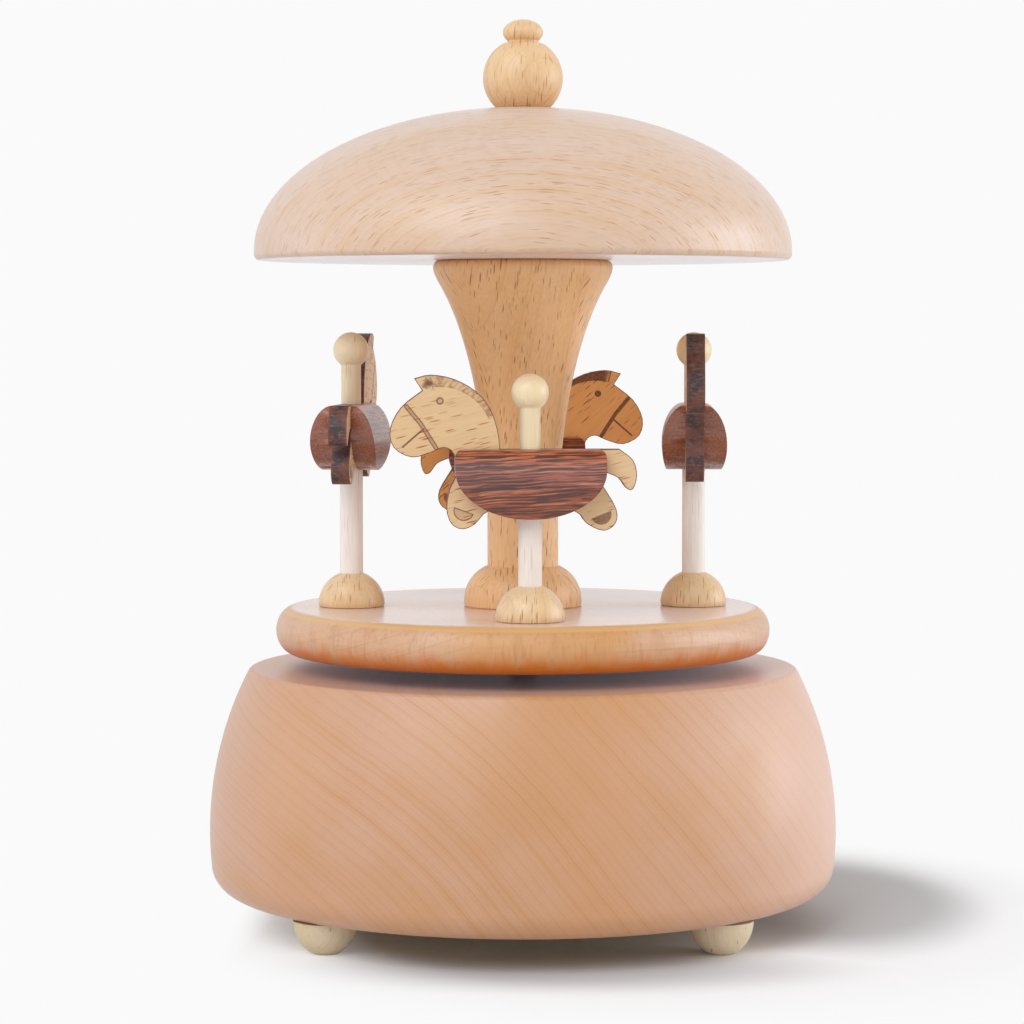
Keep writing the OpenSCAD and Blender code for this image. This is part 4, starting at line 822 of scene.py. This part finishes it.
# directions whose dot product passes SAME_WAY count as one
BURNT_RIM, SAME_WAY = 0.13, 0.9
for i, place in enumerate(PLACES):
    plate = place_copy(nodes[place + "_horse_plate"], place + "_horse", Matrix.Identity(4),
                       plate_faces[i])
    plate.data.materials.append(charred(place + " horse edge", i))
    across = (horse_place(i).to_3x3() @ Vector((0, 1, 0))).normalized()
    bpy.ops.object.mode_set(mode="EDIT")
    bpy.ops.mesh.select_all(action="SELECT")
    bpy.ops.mesh.remove_doubles(threshold=WELD)
    bpy.ops.mesh.dissolve_limited(angle_limit=math.radians(0.5))
    choose(plate, "FACE", lambda middle, normal: abs(normal.dot(across)) < SAME_WAY)
    plate.active_material_index = 1
    bpy.ops.object.material_slot_assign()
    choose(plate, "FACE", lambda middle, normal: abs(normal.dot(across)) > SAME_WAY)
    bpy.ops.mesh.inset(thickness=BURNT_RIM * MM, use_select_inset=True)
    bpy.ops.object.material_slot_assign()
    bpy.ops.object.mode_set(mode="OBJECT")
    bpy.ops.object.shade_smooth_by_angle(angle=SMOOTH_UNDER)
    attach(plate, "carousel")
    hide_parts(place + "_horse_plate")

# ---------------------------------------- horse bodies
# Two half-moons of walnut are glued to each plate and make the horse's body. They bulge like
# a saddle, are lacquered, and their edges are only broken by hand.

BODY_L, BODY_BAND, BODY_BELLY, BODY_T = 25, 3.3, 8.2, 4
BULGE_DOWN, PLATE_HALF, CORNER_R, EDGE_BREAK = 7.2, 1.575, 1.3, 0.22
PEG_HOLE = {"radius": 1.75, "low": -4.4, "high": 1}
DOWEL_HOLE = {"radius": 2.03, "low": -12.5, "high": -6.8}
pick()
bpy.ops.mesh.primitive_cylinder_add(vertices=96, radius=BODY_L / 2 * MM, depth=BODY_T * MM,
                                    rotation=(math.radians(90), 0, 0))
half = bpy.context.object
half.name = "half_moon_pattern"
half.scale = (1, BODY_BELLY / (BODY_L / 2), 1)
half.location = (0, -(PLATE_HALF + BODY_T / 2) * MM, -BODY_BAND * MM)
apply_place()
bpy.ops.object.mode_set(mode="EDIT")
bpy.ops.mesh.select_all(action="SELECT")
bpy.ops.mesh.bisect(plane_co=(0, 0, -BODY_BAND * MM), plane_no=(0, 0, 1), clear_outer=True,
                    use_fill=True)
choose(half, "FACE", lambda middle, normal: normal.z > SAME_WAY)
bpy.ops.mesh.extrude_region_move(TRANSFORM_OT_translate={"value": (0, 0, BODY_BAND * MM)})
choose(half, "EDGE", lambda middle, way: abs(way.y) > SAME_WAY and middle.z > -0.01 * MM)
bpy.ops.mesh.bevel(offset=CORNER_R * MM, segments=6)
bpy.ops.mesh.select_all(action="SELECT")
bpy.ops.mesh.normals_make_consistent(inside=False)
bpy.ops.object.mode_set(mode="OBJECT")


def change(piece, kind, **settings):
    """Changes a piece's mesh by one modifier, which is applied at once."""
    pick(piece)
    bpy.ops.object.modifier_add(type=kind)
    modifier = piece.modifiers[-1]
    for name, value in settings.items():
        setattr(modifier, name, value)
    bpy.ops.object.modifier_apply(modifier=modifier.name)


def cut_with(piece, cutter, operation):
    """Cuts a piece with another one, which is then thrown away."""
    change(piece, "BOOLEAN", operation=operation, object=cutter, solver="EXACT")
    bpy.data.objects.remove(cutter)


pick()
bpy.ops.mesh.primitive_cylinder_add(vertices=160, radius=1, depth=0.04,
                                    location=(0, -PLATE_HALF * MM, -BULGE_DOWN * MM),
                                    rotation=(0, math.radians(90), 0))
bulge = bpy.context.object
bulge.scale = (BULGE_DOWN * MM, BODY_T * MM, 1)
cut_with(half, bulge, "INTERSECT")
for hole in (PEG_HOLE, DOWEL_HOLE):
    pick()
    bpy.ops.mesh.primitive_cylinder_add(
        vertices=40, radius=hole["radius"] * MM, depth=(hole["high"] - hole["low"]) * MM,
        location=(0, 0, (hole["low"] + hole["high"]) / 2 * MM))
    cut_with(half, bpy.context.object, "DIFFERENCE")
change(half, "BEVEL", limit_method="ANGLE", angle_limit=math.radians(42),
       width=EDGE_BREAK * MM, segments=3, use_clamp_overlap=True)
bpy.ops.object.shade_smooth_by_angle(angle=math.radians(40))


def walnut(name, i, side):
    """Walnut with the grain along the horse: fine streaks of dark and mauve brown."""
    material, tree = new_material(name)
    origin, yaw = horse_spot(i)
    place = object_place(tree, origin + Vector((0, 0, 7 * side)), (0, 87, yaw))
    drift = add_node(tree, "TexNoise", {"Vector": place, "Scale": 130.0, "Detail": 1.0})
    drift = vector_calc(tree, "SUBTRACT", drift.outputs["Color"], (0.5, 0.5, 0.5))
    drift = vector_calc(tree, "SCALE", drift, scale=0.0009)
    place = vector_calc(tree, "ADD", place, vector_calc(tree, "MULTIPLY", drift, (1, 1, 0)))
    bands = noise(tree, place, 420.0, 2.0, (1, 1, 0.05))
    streaks = noise(tree, place, 2900.0, 3.0, (1, 1, 0.025))
    hairs = noise(tree, place, 6500.0, 2.0, (1, 1, 0.05))
    pores = use_group(tree, wood_flecks, {
        "Vector": place, "Cell": (0.00032, 0.003, 0.0034), "Amount": 0.7})["Fleck"]
    # along the back a lighter warm brown, painted light on the upper band, then mauve under it,
    # and orange brown in the belly
    low = calc(tree, "MULTIPLY_ADD", calc(tree, "SUBTRACT", bands, 0.5), 0.009,
               parts_of(tree, object_place(tree, origin, (0, 0, yaw)))[2])
    colour = blend_colour(tree, ease(tree, low, -0.0052, -0.0078), srgb(146, 80, 62),
                          srgb(142, 66, 30))
    # painted light: the upper band is painted lighter and warmer
    colour = blend_colour(tree, ease(tree, low, -0.0026, -0.0014), colour, srgb(188, 98, 52))
    for pattern, clear, full, strength, tone in (
            (bands, 0.52, 0.66, 0.6, (108, 56, 46)), (streaks, 0.48, 0.58, 0.95, (70, 32, 26)),
            (streaks, 0.45, 0.35, 0.65, (184, 124, 92))):
        colour = tint(tree, colour, ease(tree, pattern, clear, full), strength, tone)
    along = horse_place(i).to_3x3() @ Vector((1, 0, 0))
    facing = vector_calc(tree, "DOT_PRODUCT", coords(tree, "Normal"), along)
    end_grain = ease(tree, calc(tree, "ABSOLUTE", facing), 0.35, 0.8)
    colour = tint(tree, colour, end_grain, 0.72, (146, 90, 70))
    shade = calc(tree, "MULTIPLY_ADD", calc(tree, "SUBTRACT", hairs, 0.5), 1.8, 1.0)
    colour = vector_calc(tree, "MULTIPLY", colour, shade)
    colour = tint(tree, colour, pores, 0.6, (62, 36, 34))
    height = calc(tree, "SUBTRACT", product(tree, hairs, 0.4), pores)
    lacquered(tree, colour, height, product(tree, pores, 0.2), 0.4, 0.65, depth=0.03)
    return material


for i, place in enumerate(PLACES):
    for node, side, turn in (("_outer_half", 1, 0), ("_inner_half", -1, 180)):
        body = place_copy(half, place + node.replace("half", "walnut"),
                          horse_place(i) @ Matrix.Rotation(math.radians(turn), 4, "Z"),
                          walnut(place + node.replace("_", " ") + " walnut", i, side))
        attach(body, "carousel")
        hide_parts(place + node)
lay_aside(half)

# ---------------------------------------- floor, light and camera
# The box stands on a pale table that runs on into a white studio. A wide soft lamp lights it
# from the front and its left, another from its right, and a weak one from its left.

WHITE = srgb(250, 250, 250)


def seen_or_mirrored(tree):
    """1 for a ray from the camera, or one mirrored or passed on by a surface."""
    path = add_node(tree, "LightPath").outputs
    return calc(tree, "MAXIMUM",
                calc(tree, "MAXIMUM", path["Is Camera Ray"], path["Is Glossy Ray"]),
                path["Is Transmission Ray"])


def mixed_shader(tree, share, first, second, output):
    """Ends the tree in a mix of two shaders."""
    mixed = add_node(tree, "MixShader", {0: share, 1: first.outputs[0], 2: second.outputs[0]})
    tree.links.new(mixed.outputs[0], tree.nodes[output].inputs[0])


world = bpy.data.worlds.new("studio")
bpy.context.scene.world = world
world.use_nodes = True
tree = world.node_tree
AMBIENT = 0.64
world_light = add_node(tree, "Background", {"Color": (1, 0.975, 0.95, 1), "Strength": AMBIENT})
sky = tree.nodes["Background"]
feed(tree, sky, {"Color": WHITE, "Strength": 1})
mixed_shader(tree, seen_or_mirrored(tree), world_light, sky, "World Output")

pick()
bpy.ops.mesh.primitive_plane_add(size=12, location=(0, 0, 0))
floor = bpy.context.object
floor.name = "floor"
floor_finish, tree = new_material("pale table")
seen = seen_or_mirrored(tree)


def zone(middle, reach, inner):
    """1 in the middle of an ellipse on the table, in mm, and 0 past its rim."""
    spot = vector_calc(tree, "SUBTRACT", coords(tree), Vector((*middle, 0)) * MM)
    spot = vector_calc(tree, "MULTIPLY", spot, (1 / (reach[0] * MM), 1 / (reach[1] * MM), 0))
    return ease(tree, vector_calc(tree, "LENGTH", spot), 1, inner)


# painted shadow of the box: the table is painted darker on its right and in front of its feet
painted_shadow = calc(tree, "MAXIMUM", product(tree, zone((56, 18), (32, 62), 0.5), 0.45),
              product(tree, zone((6, -46), (56, 24), 0.3), 0.4))
pale = blend_colour(tree, seen, srgb(238, 236, 234), srgb(251, 252, 253))
shader = tree.nodes["Principled BSDF"]
feed(tree, shader, {"Base Color": tint(tree, pale, painted_shadow, seen, (30, 26, 22)),
                    "Roughness": 0.7, "Specular IOR Level": 0.2})
plain = add_node(tree, "Emission", {"Color": WHITE, "Strength": 1.0})
# round the box the table takes its shadow, which falls back and to the right, and further
# out and on its left it is as white as the room
far = calc(tree, "SUBTRACT", 1.0, zone((26, -2), (88, 96), 0.6))
left = ease(tree, parts_of(tree, coords(tree))[0], -0.037, -0.051)
mixed_shader(tree, product(tree, calc(tree, "MAXIMUM", far, left), seen), shader, plain,
             "Material Output")
floor.data.materials.append(floor_finish)

LAMP_COLOUR, LAMP_AIM = (0.84, 0.91, 1), Vector((0, 0, 0.08))


def soft_lamp(name, place, size, power):
    """A square soft lamp that faces the middle of the box."""
    lamp = bpy.data.lights.new(name, "AREA")
    lamp.size = size
    lamp.energy = power
    lamp.color = LAMP_COLOUR
    stand = bpy.data.objects.new(name, lamp)
    bpy.context.scene.collection.objects.link(stand)
    stand.location = place
    stand.rotation_euler = (LAMP_AIM - stand.location).to_track_quat("-Z", "Y").to_euler()


soft_lamp("key lamp", (-0.46, -0.76, 0.82), size=0.8, power=6.9)
soft_lamp("right lamp", (1.1, 0.06, 0.08), size=0.9, power=9.8)
soft_lamp("left lamp", (-1.1, 0.05, 0.2), size=0.5, power=0.9)

CAMERA_DIP = 3.25
camera = bpy.data.cameras.new("camera")
view = bpy.data.objects.new("camera", camera)
bpy.context.scene.collection.objects.link(view)
camera.sensor_width = 36
camera.lens = 112.73
camera.clip_end = 50
view.location = (-0.0019, -0.5611, 0.1034)
view.rotation_euler = (math.radians(90 - CAMERA_DIP), 0, 0)
bpy.context.scene.camera = view
bpy.context.scene.view_settings.view_transform = "Standard"
